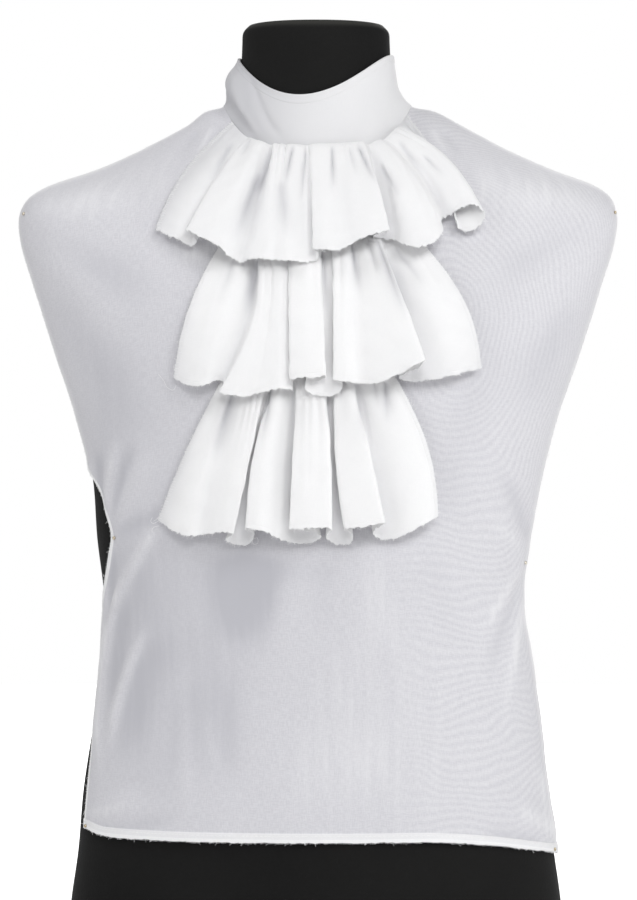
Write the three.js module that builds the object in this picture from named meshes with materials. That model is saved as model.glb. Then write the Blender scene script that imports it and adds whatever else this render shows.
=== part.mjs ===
// A jabot: a sheer bib with a stand collar and three gathered ruffles, worn by a limbless torso form.
// Millimetres, +Z up. The front faces -Y, and +X is on the right of someone who looks at the front.
// The origin is the middle of the form's flat base, which the whole part stands on.
import * as THREE from 'three';

// Walls and the room between them
const formClear = 1.3; // from the form to the bib that lies on it
const bibWall = 1.1;
const collarWall = 2; // two layers of cloth
const ruffleWall = 1;
const seamGap = 0.45; // between pieces that are sewn edge to edge
const sewnClear = 0.7; // from the bib's face to the middle of a ruffle's wall, where it is sewn on

// How finely the pieces are divided
const formColumns = 48;
const bibColumns = 30;
const collarColumns = 50;
const stepsPerLine = 2;
const ruffleLevels = [0, 0.1, 0.24, 0.42, 0.61, 0.8, 1];

// Rings of the form from the base up: heights at the side, front and back, half width, how far the
// ring's middle lies to the right, depth ahead of and behind it, and squareness, where 2 is an ellipse
const ringColumns = ['side', 'front', 'back', 'half', 'middle', 'ahead', 'behind', 'square'];
const ringTable = [
  [0, 0, 0, 198.5, 0, 124, 117, 2.3],
  [40, 40, 40, 195.5, 0, 121, 119, 2.3],
  [82, 82, 82, 189.7, 0, 118, 117, 2.3],
  [130, 130, 130, 184.6, -1, 113, 110, 2.3],
  [180, 180, 180, 178, 0, 108, 99, 2.3],
  [230, 230, 230, 170.6, 0.3, 104, 88, 2.3],
  [280, 280, 280, 166, -3, 103, 82, 2.3],
  [330, 330, 330, 171.7, -3, 107, 83, 2.35],
  [380, 380, 380, 178.5, 0, 114, 90, 2.4],
  [430, 430, 430, 191, 0.6, 119, 98, 2.45],
  [480, 480, 480, 208.3, 1.4, 121, 105, 2.5],
  [530, 517, 530, 223.8, 1, 117, 109, 2.5],
  [566, 546, 564, 234.8, 1.4, 110, 109, 2.45],
  [591, 566, 588, 235.4, 2.2, 104, 106, 2.35],
  [607, 583, 606, 221, 4.6, 98, 102, 2.2],
  [623, 597, 624, 178.4, 7.4, 92, 97, 2.1],
  [640, 609, 643, 141, 7, 87, 90, 2],
  [656, 619, 662, 111, 6.6, 83, 82, 2],
  [668, 627, 680, 91.5, 3.2, 79, 73, 2],
  [673, 634, 695, 74, 1.4, 74, 64, 2],
  [686, 648, 706, 64.5, 0, 67, 58, 2],
  [702, 664, 718, 61, 0, 63, 55, 2],
  [714, 678, 728, 59.5, 0, 61, 54, 2],
  [725, 706, 733, 59, 0, 60, 54, 2],
  [733, 731, 736, 58.3, 0, 58.5, 53, 2.1],
  [738, 738, 738, 54, 0, 52, 48, 2.2],
];
const hemRing = 2; // the last ring below the bib's lower edge
const chestRing = 10; // above this ring the form is divided twice as finely
const seamRing = 19; // the collar is sewn to the bib here
const collarTopRing = 22;
const collarTurn = -0.19; // radians that the lowest point of the collar's top edge lies left of the middle
// Between these places along the rings their front is a wide U, with most of its drop near the sides
const dip = { from: 15, full: 18.5, until: 19.5, end: 21.5, more: 1.3 };

// The bib stands off the form where it bridges the waist
const bridge = { depth: 9, from: 130, to: 440 };
// Its side edges, as angles from the middle of the front, at heights on the form's side
const edgeColumns = ['height', 'left', 'right'];
const edgeTable = [
  [80, 67.5, 87],
  [139, 70.5, 87],
  [196, 75.5, 87],
  [232, 79, 86.5],
  [252, 80, 86],
  [272, 73.5, 85.5],
  [302, 64.5, 85],
  [318, 60.5, 84.5],
  [334, 58.5, 84],
  [352, 61, 84.5],
  [371, 67, 85],
  [389, 75.5, 85.5],
  [430, 84, 86],
  [566, 87, 87],
  [595, 93, 93],
  [607, 104, 104],
  [640, 109, 109],
  [680, 114, 114],
];
// Its lower edge is turned up and sewn as a narrow hem. Seen from the front it drops towards the right
// corner and rises a little at the left one, from these shares of the half width on.
const hem = {
  height: 99,
  rightDrop: 19,
  dropFrom: 0.25,
  leftRise: 4,
  riseFrom: -0.8,
  width: 7,
  rise: 0.9,
  step: 1,
};

// The collar: it stands off the neck, bulges at the left, and its ends overlap at the back
const collar = { baseClear: 0.9, topClear: 1.2, overlap: 0.16, bulge: 9, bulgeAt: -1.3, bulgeWidth: 0.6 };

// Each ruffle is worked out from lines that run down the cloth, from its gathered edge to its free edge.
// A line has its place along the gathered edge, how far it bows sideways on its way down, and the place,
// height and distance out from the bib of its lower end.
const lineColumns = ['top', 'bow', 'low', 'height', 'out'];
const topRuffle = {
  name: 'ruffle_top',
  sewnAt: null, // it is sewn into the collar's seam
  lines: [
    [-65, -8, -123, 569.5, 5],
    [-62, -7, -114.5, 565, 8],
    [-58.5, -6, -104, 560.5, 10],
    [-55.5, -4, -96, 556, 8.5],
    [-53, -3, -91, 559.5, 9.5],
    [-51, -3, -95, 565, 13.5],
    [-48.5, -2, -99, 568, 19],
    [-45, -1, -89.5, 563, 22.5],
    [-41, 0, -76, 556, 24],
    [-38, 0, -69, 550.5, 21],
    [-36, 0, -63, 545.5, 14.5],
    [-34, 0, -57, 543, 11],
    [-31, 0, -48.5, 545.5, 17],
    [-27, 0, -39.5, 545, 21],
    [-22.5, 0, -31, 544.5, 19],
    [-18.5, 0, -23.5, 544, 21],
    [-14, 0, -15, 543.5, 19],
    [-10, 0, -6, 543, 16],
    [-7, 0, 1, 545, 14],
    [-5, 0, 1.5, 549.5, 17.5],
    [-3, 0, -2.5, 552.5, 21.5],
    [2, 0, 7, 552, 24.5],
    [8.5, 0, 18, 552, 23],
    [13.5, 0, 26, 556, 24],
    [19, 0, 33.5, 560, 27],
    [26.5, 0, 45, 564, 29.5],
    [33, 1, 56, 567, 30],
    [35.5, 2, 50, 565, 21.5],
    [37.5, 2, 44, 562.5, 13],
    [39.5, 2, 51.5, 561.5, 9],
    [41.5, 3, 60, 560.5, 12.5],
    [43.5, 3, 68, 556.5, 18],
    [45.5, 3, 79.5, 554.5, 21],
    [47.5, 3, 91.5, 559.5, 21],
    [49, 4, 96.5, 567, 17],
    [50.5, 5, 96, 576.5, 10.5],
    [52.5, 6, 100.5, 579, 7.5],
    [55.5, 6, 108.5, 583.5, 15],
    [58.5, 7, 117, 587, 21.5],
    [61, 8, 125, 586, 21.5],
    [63, 8, 129, 580, 16.5],
    [64.8, 7, 126, 572.5, 11],
    [66.6, 6, 118, 568, 7.5],
    [68.6, 5, 109.5, 570, 7],
    [70.6, 5, 107.5, 576.5, 11],
  ],
};
const middleRuffle = {
  name: 'ruffle_middle',
  sewnAt: 561,
  lines: [
    [-71, -7, -108, 455, 5],
    [-66, -5, -99, 451, 8.5],
    [-61, -2, -91, 449, 12.5],
    [-57, 2, -83, 450.5, 13.5],
    [-53, 7, -76, 453, 10],
    [-50.3, 10, -71, 453, 6.5],
    [-48.6, 12, -69.5, 448.5, 10.5],
    [-46.9, 13, -72.5, 445, 16.5],
    [-43, 11, -65.5, 442.5, 18],
    [-38.5, 8, -56, 441, 17],
    [-34.5, 5, -46, 442.5, 16.5],
    [-30.5, 2, -36.5, 445.5, 18],
    [-26, 0, -27, 447, 19],
    [-22, 0, -17.5, 447, 14],
    [-20, 0, -20, 453.5, 20.5],
    [-9, 0, -8.5, 455, 23],
    [3, 0, 7.5, 456, 22],
    [5, 0, 2, 452.5, 15.5],
    [6.8, 0, -8.5, 447.5, 15.5],
    [8.2, 0, -3, 443, 13.5],
    [9.6, 0, 8.5, 441.5, 13],
    [11, 0, 18, 444, 13.5],
    [12.4, 0, 20, 450, 13.5],
    [13.8, 0, 13, 454, 20],
    [20, 0, 22, 452.5, 21.5],
    [28, 0, 33.5, 451, 17.5],
    [33, 0, 44, 450.5, 21],
    [38, 0, 56, 455, 25],
    [43, 0, 70.5, 462, 29],
    [46.5, 0, 82.5, 468.5, 30],
    [48.3, 0, 78, 463, 21.5],
    [50, 0, 69.5, 459.5, 13.5],
    [51.8, 1, 63, 455, 7],
    [54, 2, 71.5, 452.5, 5.5],
    [58.5, 4, 83, 453.5, 9],
    [65, 7, 97, 456, 11],
    [71.5, 9, 112, 459.5, 9],
    [78, 11, 126, 463.5, 7],
  ],
};
const bottomRuffle = {
  name: 'ruffle_bottom',
  sewnAt: 456,
  lines: [
    [-70, -3, -118.5, 347, 4],
    [-65.5, -3, -108, 339.5, 9],
    [-61, -3, -96, 335.5, 12.5],
    [-56.5, -3, -86, 336.5, 10],
    [-51, -1, -76.5, 337.5, 15.5],
    [-45, 0, -68.5, 338.5, 19],
    [-38.5, 1, -61.5, 337, 19.5],
    [-36.6, 1, -67, 332.5, 11.5],
    [-34.8, -1, -58, 328.5, 5],
    [-33, -3, -49, 330, 7],
    [-31.3, -4.5, -46.5, 337.5, 13],
    [-29.6, -5, -52.5, 341.5, 20],
    [-27, -3.5, -45, 341, 22.5],
    [-24.4, -2, -37, 339, 20.5],
    [-22, -1, -28.5, 334, 14.5],
    [-20, 0, -16.5, 330, 7],
    [-18.4, 0, -4, 330.5, 5],
    [-17, 0, 4, 335, 9.5],
    [-15.7, 0, -3, 339, 16],
    [-14.3, 0, -20, 341.5, 21],
    [-9, 0, -12, 341.5, 23],
    [-2, 0, -1, 342.5, 23.5],
    [6, 1.5, 12, 341, 21.5],
    [7.5, 1.5, 7.5, 335.5, 13],
    [9, 1, 10.5, 331.5, 6.5],
    [10.4, 0, 18, 329, 4.5],
    [11.8, -1.5, 26, 330.5, 7],
    [13.3, -3, 28, 337, 13],
    [15, -3.5, 21, 341, 19.5],
    [19.5, -1.5, 32, 342.5, 23],
    [27.5, 0, 51.5, 346, 24],
    [29.3, 0, 45, 341, 15.5],
    [31, 0, 42.5, 336.5, 8],
    [33, 0, 49.5, 333, 4.5],
    [35.6, 0, 58, 333.5, 7],
    [41.5, 2, 68, 337.5, 11.5],
    [50, 5, 80, 344, 14],
    [60, 8, 91.5, 350.5, 11],
  ],
};
// Along its gathered edge a ruffle lies flat on the bib where its folds are this deep, and its deeper folds
// stand off by a share of the rest. It springs out of the seam faster than it hangs away below.
const gather = { flat: 4, share: 0.24, spring: 1.7 };

const formLook = { color: 0x1b1b1c, roughness: 0.92, metalness: 0 };
const bibLook = { color: 0xe2e1e6, roughness: 0.9, metalness: 0 };
const collarLook = { color: 0xf1f1f3, roughness: 0.88, metalness: 0 };
const ruffleLook = { color: 0xf7f7f8, roughness: 0.88, metalness: 0 };

const degree = Math.PI / 180;
const mix = (a, b, share) => a + (b - a) * share;
const named = (columns, rows) => rows.map((row) => Object.fromEntries(columns.map((c, i) => [c, row[i]])));

function smooth(from, to, value) {
  const share = THREE.MathUtils.clamp((value - from) / (to - from), 0, 1);
  return share * share * (3 - 2 * share);
}

// A smooth curve through the rows of a table, read one column at a time
function between(rows, place, column) {
  const first = Math.min(Math.max(Math.floor(place), 0), rows.length - 2);
  const share = place - first;
  const at = (row) => rows[Math.min(Math.max(row, 0), rows.length - 1)][column];
  const [a, b, c, d] = [at(first - 1), at(first), at(first + 1), at(first + 2)];
  const slopeIn = (c - a) / 2;
  const slopeOut = (d - b) / 2;
  const cube = 2 * (b - c) + slopeIn + slopeOut;
  const square = 3 * (c - b) - 2 * slopeIn - slopeOut;
  return ((cube * share + square) * share + slopeIn) * share + b;
}

// A smooth curve through the rows of a table by their key, whose steps may differ
function lookUp(rows, key, value, column) {
  const last = rows.length - 1;
  const rise = (low, high) => (rows[high][column] - rows[low][column]) / (rows[high][key] - rows[low][key]);
  const slope = (row) => {
    if (row === 0) return rise(0, 1);
    if (row === last) return rise(last - 1, last);
    const [before, after] = [rows[row][key] - rows[row - 1][key], rows[row + 1][key] - rows[row][key]];
    return (rise(row - 1, row) * after + rise(row, row + 1) * before) / (before + after);
  };
  const next = rows.findIndex((row) => row[key] > value);
  if (next === 0) return rows[0][column];
  if (next < 0) return rows[last][column];
  const [low, high] = [rows[next - 1], rows[next]];
  const step = high[key] - low[key];
  const share = (value - low[key]) / step;
  const curved = slope(next - 1) * (1 - share) - slope(next) * share;
  return mix(low[column], high[column], smooth(0, 1, share)) + share * (1 - share) * step * curved;
}

const rings = named(ringColumns, ringTable);
const edges = named(edgeColumns, edgeTable);

// The form's surface: a place along the rings, and an angle from the middle of the front to the right
function onForm(place, angle) {
  const size = {};
  for (const column of ringColumns) size[column] = between(rings, place, column);
  const [sin, cos] = [Math.sin(angle), Math.cos(angle)];
  const reach = (Math.abs(sin) ** size.square + Math.abs(cos) ** size.square) ** (1 / size.square);
  const depth = cos > 0 ? size.ahead : size.behind;
  const turned = Math.cos(angle - collarTurn * smooth(seamRing, collarTopRing - 0.5, place));
  const dipped = 1 + dip.more * smooth(dip.from, dip.full, place) * (1 - smooth(dip.until, dip.end, place));
  const ahead = mix(size.side, size.front, 1 - (1 - turned * turned) ** dipped);
  const height = turned > 0 ? ahead : mix(size.side, size.back, turned * turned);
  return new THREE.Vector3(size.middle + (size.half * sin) / reach, (-depth * cos) / reach, height);
}

function outOfForm(place, angle) {
  const step = 0.02;
  const up = onForm(place + step, angle).sub(onForm(place - step, angle));
  const along = onForm(place, angle + step).sub(onForm(place, angle - step));
  return along.cross(up).normalize();
}

const offForm = (place, angle, out) => onForm(place, angle).addScaledVector(outOfForm(place, angle), out);

// How far the inside of the bib lies from the form
function bibClear(place, angle) {
  const risen = (onForm(place, angle).z - bridge.from) / (bridge.to - bridge.from);
  const share = THREE.MathUtils.clamp(risen, 0, 1);
  const across = Math.max(Math.cos(angle), 0);
  return formClear + bridge.depth * Math.sin(Math.PI * share) ** 2 * across;
}

const bibFace = (place, angle, out) => offForm(place, angle, bibClear(place, angle) + bibWall + out);

// The angle at which a ring lies a given distance to the side, within the front half
function angleAt(place, sideways) {
  const aside = sideways - between(rings, place, 'middle');
  const share = Math.min(Math.abs(aside) / between(rings, place, 'half'), 0.995);
  const square = between(rings, place, 'square');
  const power = share ** square;
  return Math.sign(aside) * Math.atan((power / (1 - power)) ** (1 / square));
}

// The place along the rings that has a given height, a given distance to the side of the middle
function placeAt(sideways, height) {
  let [low, high] = [0, seamRing];
  for (let i = 0; i < 30; i += 1) {
    const middle = (low + high) / 2;
    if (onForm(middle, angleAt(middle, sideways)).z < height) low = middle;
    else high = middle;
  }
  return (low + high) / 2;
}

// The share of a ring step that is this long on the form
function ringShare(place, angle, length) {
  const step = 0.05;
  return (length * step) / onForm(place, angle).distanceTo(onForm(place - step, angle));
}

function solid(name, points, faces, look) {
  const geometry = new THREE.BufferGeometry();
  geometry.setAttribute('position', new THREE.Float32BufferAttribute(points.flatMap((p) => p.toArray()), 3));
  geometry.setIndex(faces);
  geometry.computeVertexNormals();
  const mesh = new THREE.Mesh(geometry, new THREE.MeshStandardMaterial(look));
  mesh.name = name;
  return mesh;
}

// A closed wall between two grids of points. Rows go up and columns go right, seen from outside.
function wall(name, outside, inside, look) {
  const [rows, columns] = [outside.length, outside[0].length];
  const points = [...outside.flat(), ...inside.flat()];
  const outer = (row, column) => row * columns + column;
  const inner = (row, column) => rows * columns + outer(row, column);
  const faces = [];
  const quad = (a, b, c, d) => faces.push(a, b, c, a, c, d);
  for (let r = 0; r < rows - 1; r += 1) {
    for (let c = 0; c < columns - 1; c += 1) {
      quad(outer(r, c), outer(r, c + 1), outer(r + 1, c + 1), outer(r + 1, c));
      quad(inner(r, c), inner(r + 1, c), inner(r + 1, c + 1), inner(r, c + 1));
    }
    quad(outer(r, 0), outer(r + 1, 0), inner(r + 1, 0), inner(r, 0));
    quad(outer(r + 1, columns - 1), outer(r, columns - 1), inner(r, columns - 1), inner(r + 1, columns - 1));
  }
  for (let c = 0; c < columns - 1; c += 1) {
    quad(outer(0, c + 1), outer(0, c), inner(0, c), inner(0, c + 1));
    quad(outer(rows - 1, c), outer(rows - 1, c + 1), inner(rows - 1, c + 1), inner(rows - 1, c));
  }
  return solid(name, points, faces, look);
}

function torsoForm() {
  const places = [];
  for (let place = 0; place < rings.length - 1; place += place < chestRing ? 1 : 0.5) places.push(place);
  places.push(rings.length - 1);
  const points = [];
  for (const place of places) {
    for (let c = 0; c < formColumns; c += 1) points.push(onForm(place, (c / formColumns) * 2 * Math.PI));
  }
  const faces = [];
  const at = (row, column) => row * formColumns + (column % formColumns);
  const base = points.push(new THREE.Vector3(0, 0, 0)) - 1;
  const top = points.push(new THREE.Vector3(0, 0, ringTable[rings.length - 1][0])) - 1;
  for (let c = 0; c < formColumns; c += 1) {
    for (let r = 0; r < places.length - 1; r += 1) {
      faces.push(at(r, c), at(r, c + 1), at(r + 1, c + 1), at(r, c), at(r + 1, c + 1), at(r + 1, c));
    }
    faces.push(base, at(0, c + 1), at(0, c), top, at(places.length - 1, c), at(places.length - 1, c + 1));
  }
  return solid('torso_form', points, faces, formLook);
}

// The bib's rows in one column, from its free lower edge up: places along the rings, and how far the
// turned hem stands out there
function bibRows(across) {
  const perRing = rings[hemRing + 1].side - rings[hemRing].side;
  const dropped = hem.rightDrop * smooth(hem.dropFrom, 1, across);
  const raised = hem.leftRise * (1 - smooth(-1, hem.riseFrom, across));
  const lowest = hem.height - dropped + raised;
  const start = hemRing + (lowest - rings[hemRing].side) / perRing;
  const turned = start + hem.width / perRing;
  const rows = [[start, hem.rise], [turned, hem.rise], [turned + hem.step / perRing, 0]];
  for (let place = hemRing + 1; place < seamRing; place += place < chestRing ? 1 : 0.5) rows.push([place, 0]);
  rows.push([seamRing, 0]);
  return rows;
}

function bibFront() {
  const outside = [];
  const inside = [];
  const rows = bibRows(0).length;
  for (let r = 0; r < rows; r += 1) {
    const [outRow, inRow] = [[], []];
    for (let c = 0; c <= bibColumns; c += 1) {
      const across = (2 * c) / bibColumns - 1;
      const [ringPlace, rise] = bibRows(across)[r];
      const height = between(rings, ringPlace, 'side');
      const angle = across * lookUp(edges, 'height', height, across < 0 ? 'left' : 'right') * degree;
      const place = r < rows - 1 ? ringPlace : seamRing - ringShare(seamRing, angle, seamGap);
      outRow.push(bibFace(place, angle, rise));
      inRow.push(bibFace(place, angle, -bibWall));
    }
    outside.push(outRow);
    inside.push(inRow);
  }
  return wall('bib_front', outside, inside, bibLook);
}

function standCollar() {
  const outside = [];
  const inside = [];
  const end = Math.PI + collar.overlap;
  for (let place = seamRing; place <= collarTopRing; place += 0.5) {
    const [outRow, inRow] = [[], []];
    const up = (place - seamRing) / (collarTopRing - seamRing);
    for (let c = 0; c <= collarColumns; c += 1) {
      const angle = ((2 * c) / collarColumns - 1) * end;
      const lapped = smooth(Math.PI - 5 * collar.overlap, Math.PI - collar.overlap, angle);
      const over = (collarWall + seamGap) * lapped;
      const aside = Math.exp(-(((angle - collar.bulgeAt) / collar.bulgeWidth) ** 2));
      const bulge = collar.bulge * aside * Math.sin(Math.PI * up) ** 2;
      const clear = mix(collar.baseClear, collar.topClear, up) + over + bulge;
      outRow.push(offForm(place, angle, clear + collarWall));
      inRow.push(offForm(place, angle, clear));
    }
    outside.push(outRow);
    inside.push(inRow);
  }
  return wall('collar', outside, inside, collarLook);
}

// A point on one of a ruffle's lines: 0 is its gathered edge and 1 its free edge
function onLine(line, sewnAt, level) {
  const seamPlace = seamRing - ringShare(seamRing, angleAt(seamRing, line.top), seamGap);
  const topHeight = sewnAt ?? onForm(seamPlace, angleAt(seamPlace, line.top)).z;
  const sideways = mix(line.top, line.low, level) + line.bow * Math.sin(Math.PI * level);
  const height = mix(topHeight, line.height, level);
  const place = placeAt(sideways, height);
  const angle = angleAt(place, sideways);
  const sprung = 1 - (1 - level) ** gather.spring;
  const gathered = gather.share * Math.max(line.out - gather.flat, 0);
  const out = sewnClear + mix(gathered, line.out, sprung);
  const straightOut = new THREE.Vector3(0, -1, 0);
  const direction = outOfForm(place, angle).lerp(straightOut, level).normalize();
  return bibFace(place, angle, 0).addScaledVector(direction, out);
}

function ruffle(shape) {
  const lines = named(lineColumns, shape.lines);
  const count = (lines.length - 1) * stepsPerLine;
  const levels = [...ruffleLevels].reverse();
  const middle = levels.map((level) => {
    const curve = new THREE.CatmullRomCurve3(lines.map((line) => onLine(line, shape.sewnAt, level)), false);
    return Array.from({ length: count + 1 }, (_, i) => curve.getPoint(i / count));
  });
  const outside = [];
  const inside = [];
  for (let r = 0; r < levels.length; r += 1) {
    const [outRow, inRow] = [[], []];
    for (let c = 0; c <= count; c += 1) {
      const along = middle[r][Math.min(c + 1, count)].clone().sub(middle[r][Math.max(c - 1, 0)]);
      const up = middle[Math.min(r + 1, levels.length - 1)][c].clone().sub(middle[Math.max(r - 1, 0)][c]);
      const out = along.cross(up).setLength(ruffleWall / 2);
      outRow.push(middle[r][c].clone().add(out));
      inRow.push(middle[r][c].clone().sub(out));
    }
    outside.push(outRow);
    inside.push(inRow);
  }
  return wall(shape.name, outside, inside, ruffleLook);
}

const jabot = new THREE.Group();
jabot.add(torsoForm(), bibFront(), standCollar());
for (const shape of [topRuffle, middleRuffle, bottomRuffle]) jabot.add(ruffle(shape));

export default jabot;
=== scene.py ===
# A jabot on a dress form: a sheer bib, a stand collar and three gathered ruffles.
# Tables and sizes are in millimetres: the front faces -Y, and +X is on the viewer's right.
import math
import bpy
import numpy as np
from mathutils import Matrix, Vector


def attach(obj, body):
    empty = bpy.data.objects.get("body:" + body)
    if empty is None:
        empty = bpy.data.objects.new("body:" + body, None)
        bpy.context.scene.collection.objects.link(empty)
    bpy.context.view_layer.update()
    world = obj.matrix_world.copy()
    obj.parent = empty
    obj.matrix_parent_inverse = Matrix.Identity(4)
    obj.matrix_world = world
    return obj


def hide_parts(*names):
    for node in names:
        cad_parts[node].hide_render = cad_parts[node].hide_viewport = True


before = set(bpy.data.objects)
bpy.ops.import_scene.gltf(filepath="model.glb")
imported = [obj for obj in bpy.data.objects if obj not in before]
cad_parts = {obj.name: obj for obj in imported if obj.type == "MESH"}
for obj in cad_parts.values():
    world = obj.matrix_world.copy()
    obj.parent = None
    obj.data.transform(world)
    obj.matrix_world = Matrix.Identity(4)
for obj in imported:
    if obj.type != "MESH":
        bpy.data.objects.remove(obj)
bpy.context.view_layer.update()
print("frame loaded,", len(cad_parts), "solids")

mm = 0.001
fullTurn = 2 * math.pi


def smooth(low, high, value):
    share = np.clip((np.asarray(value, float) - low) / (high - low), 0, 1)
    return share * share * (3 - 2 * share)


def mix(a, b, share):
    return a + (b - a) * share


def unit(vectors):
    length = np.linalg.norm(vectors, axis=-1, keepdims=True)
    return vectors / np.maximum(length, 1e-9)


def hump(away, width):
    return np.exp(-((away / width) ** 2))


def ripple(x, y, length, seed):
    # Soft unevenness from about -1 to 1: crossed waves of about this length
    dice = np.random.default_rng(seed)
    waves = 7
    total = 0
    for _ in range(waves):
        heading, phase = dice.uniform(0, fullTurn, 2)
        turns = fullTurn / (length * dice.uniform(0.7, 1.6))
        total = total + np.sin((x * math.cos(heading) + y * math.sin(heading)) * turns + phase)
    return total / math.sqrt(waves) / 1.4


def between(rows, place):
    # A smooth curve through the rows of a table
    place = np.asarray(place, float)
    first = np.clip(np.floor(place), 0, len(rows) - 2).astype(int)
    share = (place - first)[..., None]
    before, low, high, after = (rows[np.clip(first + k, 0, len(rows) - 1)] for k in (-1, 0, 1, 2))
    slopeIn, slopeOut = (high - before) / 2, (after - low) / 2
    cube = 2 * (low - high) + slopeIn + slopeOut
    square = 3 * (high - low) - 2 * slopeIn - slopeOut
    return ((cube * share + square) * share + slopeIn) * share + low


def lookUp(keys, values, key):
    # A smooth curve through a table whose keys are unevenly spaced
    slopes = np.gradient(values, keys)
    low = np.clip(np.searchsorted(keys, key, side="right") - 1, 0, len(keys) - 2)
    step = keys[low + 1] - keys[low]
    share = np.clip((key - keys[low]) / step, 0, 1)
    rise, fall = smooth(0, 1, share), share * (1 - share)
    curved = slopes[low] * (1 - share) - slopes[low + 1] * share
    return mix(values[low], values[low + 1], rise) + fall * step * curved


# The form: rings from the base up, with heights at the side, front and back, half width, how far its
# middle lies to the right, depth ahead of and behind it, and squareness, where 2 is an ellipse
form = {
    "columns": 168,
    "rowsPerRing": 6,
    "capRows": 7,
    "dome": 0.8,
    # Between these places along the rings their front is a wide U, with most of its drop near the sides
    "dip": {"from": 15, "full": 18.5, "until": 19.5, "end": 21.5, "more": 1.3},
    "rings": [
        [0, 0, 0, 198.5, 0, 124, 117, 2.3],
        [40, 40, 40, 195.5, 0, 121, 119, 2.3],
        [82, 82, 82, 189.7, 0, 118, 117, 2.3],
        [130, 130, 130, 184.6, -1, 113, 110, 2.3],
        [180, 180, 180, 178, 0, 108, 99, 2.3],
        [230, 230, 230, 170.6, 0.3, 104, 88, 2.3],
        [280, 280, 280, 166, -3, 103, 82, 2.3],
        [330, 330, 330, 171.7, -3, 107, 83, 2.35],
        [380, 380, 380, 178.5, 0, 114, 90, 2.4],
        [430, 430, 430, 191, 0.6, 119, 98, 2.45],
        [480, 480, 480, 208.3, 1.4, 121, 105, 2.5],
        [530, 517, 530, 223.8, 1, 117, 109, 2.5],
        [566, 546, 564, 234.8, 1.4, 110, 109, 2.45],
        [591, 566, 588, 235.4, 2.2, 104, 106, 2.35],
        [607, 583, 606, 221, 4.6, 98, 102, 2.2],
        [623, 597, 624, 178.4, 7.4, 92, 97, 2.1],
        [640, 609, 643, 141, 7, 87, 90, 2],
        [656, 619, 662, 111, 6.6, 83, 82, 2],
        [668, 627, 680, 91.5, 3.2, 79, 73, 2],
        [673, 634, 695, 74, 1.4, 74, 64, 2],
        [686, 648, 706, 64.5, 0, 67, 58, 2],
        [702, 664, 718, 61, 0, 63, 55, 2],
        [714, 678, 728, 59.5, 0, 61, 54, 2],
        [725, 706, 733, 59, 0, 60, 54, 2],
        [733, 731, 736, 58.3, 0, 58.5, 53, 2.1],
        [738, 738, 738, 54, 0, 52, 48, 2.2],
    ],
}
rings = np.array(form["rings"], float)
hemRing, seamRing, collarTopRing = 2, 19, 22
collarTurn = -0.19  # radians that the lowest point of the collar's top edge lies left of the middle


def onForm(place, angle):
    # A place along the rings, and an angle from the middle of the front to the right
    place, angle = np.broadcast_arrays(np.asarray(place, float), np.asarray(angle, float))
    side, front, back, half, middle, ahead, behind, square = np.moveaxis(between(rings, place), -1, 0)
    sin, cos = np.sin(angle), np.cos(angle)
    reach = (np.abs(sin) ** square + np.abs(cos) ** square) ** (1 / square)
    depth = np.where(cos > 0, ahead, behind)
    turned = np.cos(angle - collarTurn * smooth(seamRing, collarTopRing - 0.5, place))
    dip = form["dip"]
    inDip = smooth(dip["from"], dip["full"], place) * (1 - smooth(dip["until"], dip["end"], place))
    frontHeight = mix(side, front, 1 - (1 - turned**2) ** (1 + dip["more"] * inDip))
    height = np.where(turned > 0, frontHeight, mix(side, back, turned**2))
    return np.stack([middle + half * sin / reach, -depth * cos / reach, height], axis=-1)


def outOfForm(place, angle):
    step = 0.02
    up = onForm(place + step, angle) - onForm(place - step, angle)
    along = onForm(place, angle + step) - onForm(place, angle - step)
    return unit(np.cross(along, up))


def offForm(place, angle, out):
    return onForm(place, angle) + outOfForm(place, angle) * np.asarray(out, float)[..., None]


def ringShare(place, angle, length):
    # The share of a ring step that is this long on the form
    step = 0.05
    risen = onForm(place, angle) - onForm(place - step, angle)
    return length * step / np.linalg.norm(risen, axis=-1)


def angleAt(place, sideways):
    # The angle round the front at which the form is this far to the right
    half, middle, square = (between(rings, place)[..., k] for k in (3, 4, 7))
    aside = sideways - middle
    power = np.minimum(np.abs(aside) / half, 0.995) ** square
    return np.sign(aside) * np.arctan((power / (1 - power)) ** (1 / square))


def placeAt(sideways, height):
    # The place along the rings that has this height, found by halving
    low, high = np.zeros(height.shape), np.full(height.shape, float(seamRing))
    for _ in range(28):
        middle = (low + high) / 2
        below = onForm(middle, angleAt(middle, sideways))[..., 2] < height
        low, high = np.where(below, middle, low), np.where(below, high, middle)
    return (low + high) / 2


def meshObject(name, points, faces, material):
    mesh = bpy.data.meshes.new(name)
    mesh.from_pydata((points * mm).tolist(), [], faces)
    mesh.materials.append(material)
    mesh.shade_smooth()
    mesh.set_sharp_from_angle(angle=math.radians(55))
    made = bpy.data.objects.new(name, mesh)
    bpy.context.scene.collection.objects.link(made)
    return made


def gridFaces(rows, columns):
    low = (np.arange(rows - 1)[:, None] * columns + np.arange(columns - 1)).ravel()
    return np.stack([low, low + 1, low + columns + 1, low + columns], axis=-1)


def normalsOf(grid):
    return unit(np.cross(np.gradient(grid, axis=1), np.gradient(grid, axis=0)))


def keepValues(piece, label, values):
    # One value for each point of a grid, kept on both faces of the shell made from it
    kept = piece.data.attributes.new(label, "FLOAT", "POINT")
    kept.data.foreach_set("value", np.tile(values.ravel(), 2))


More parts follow.
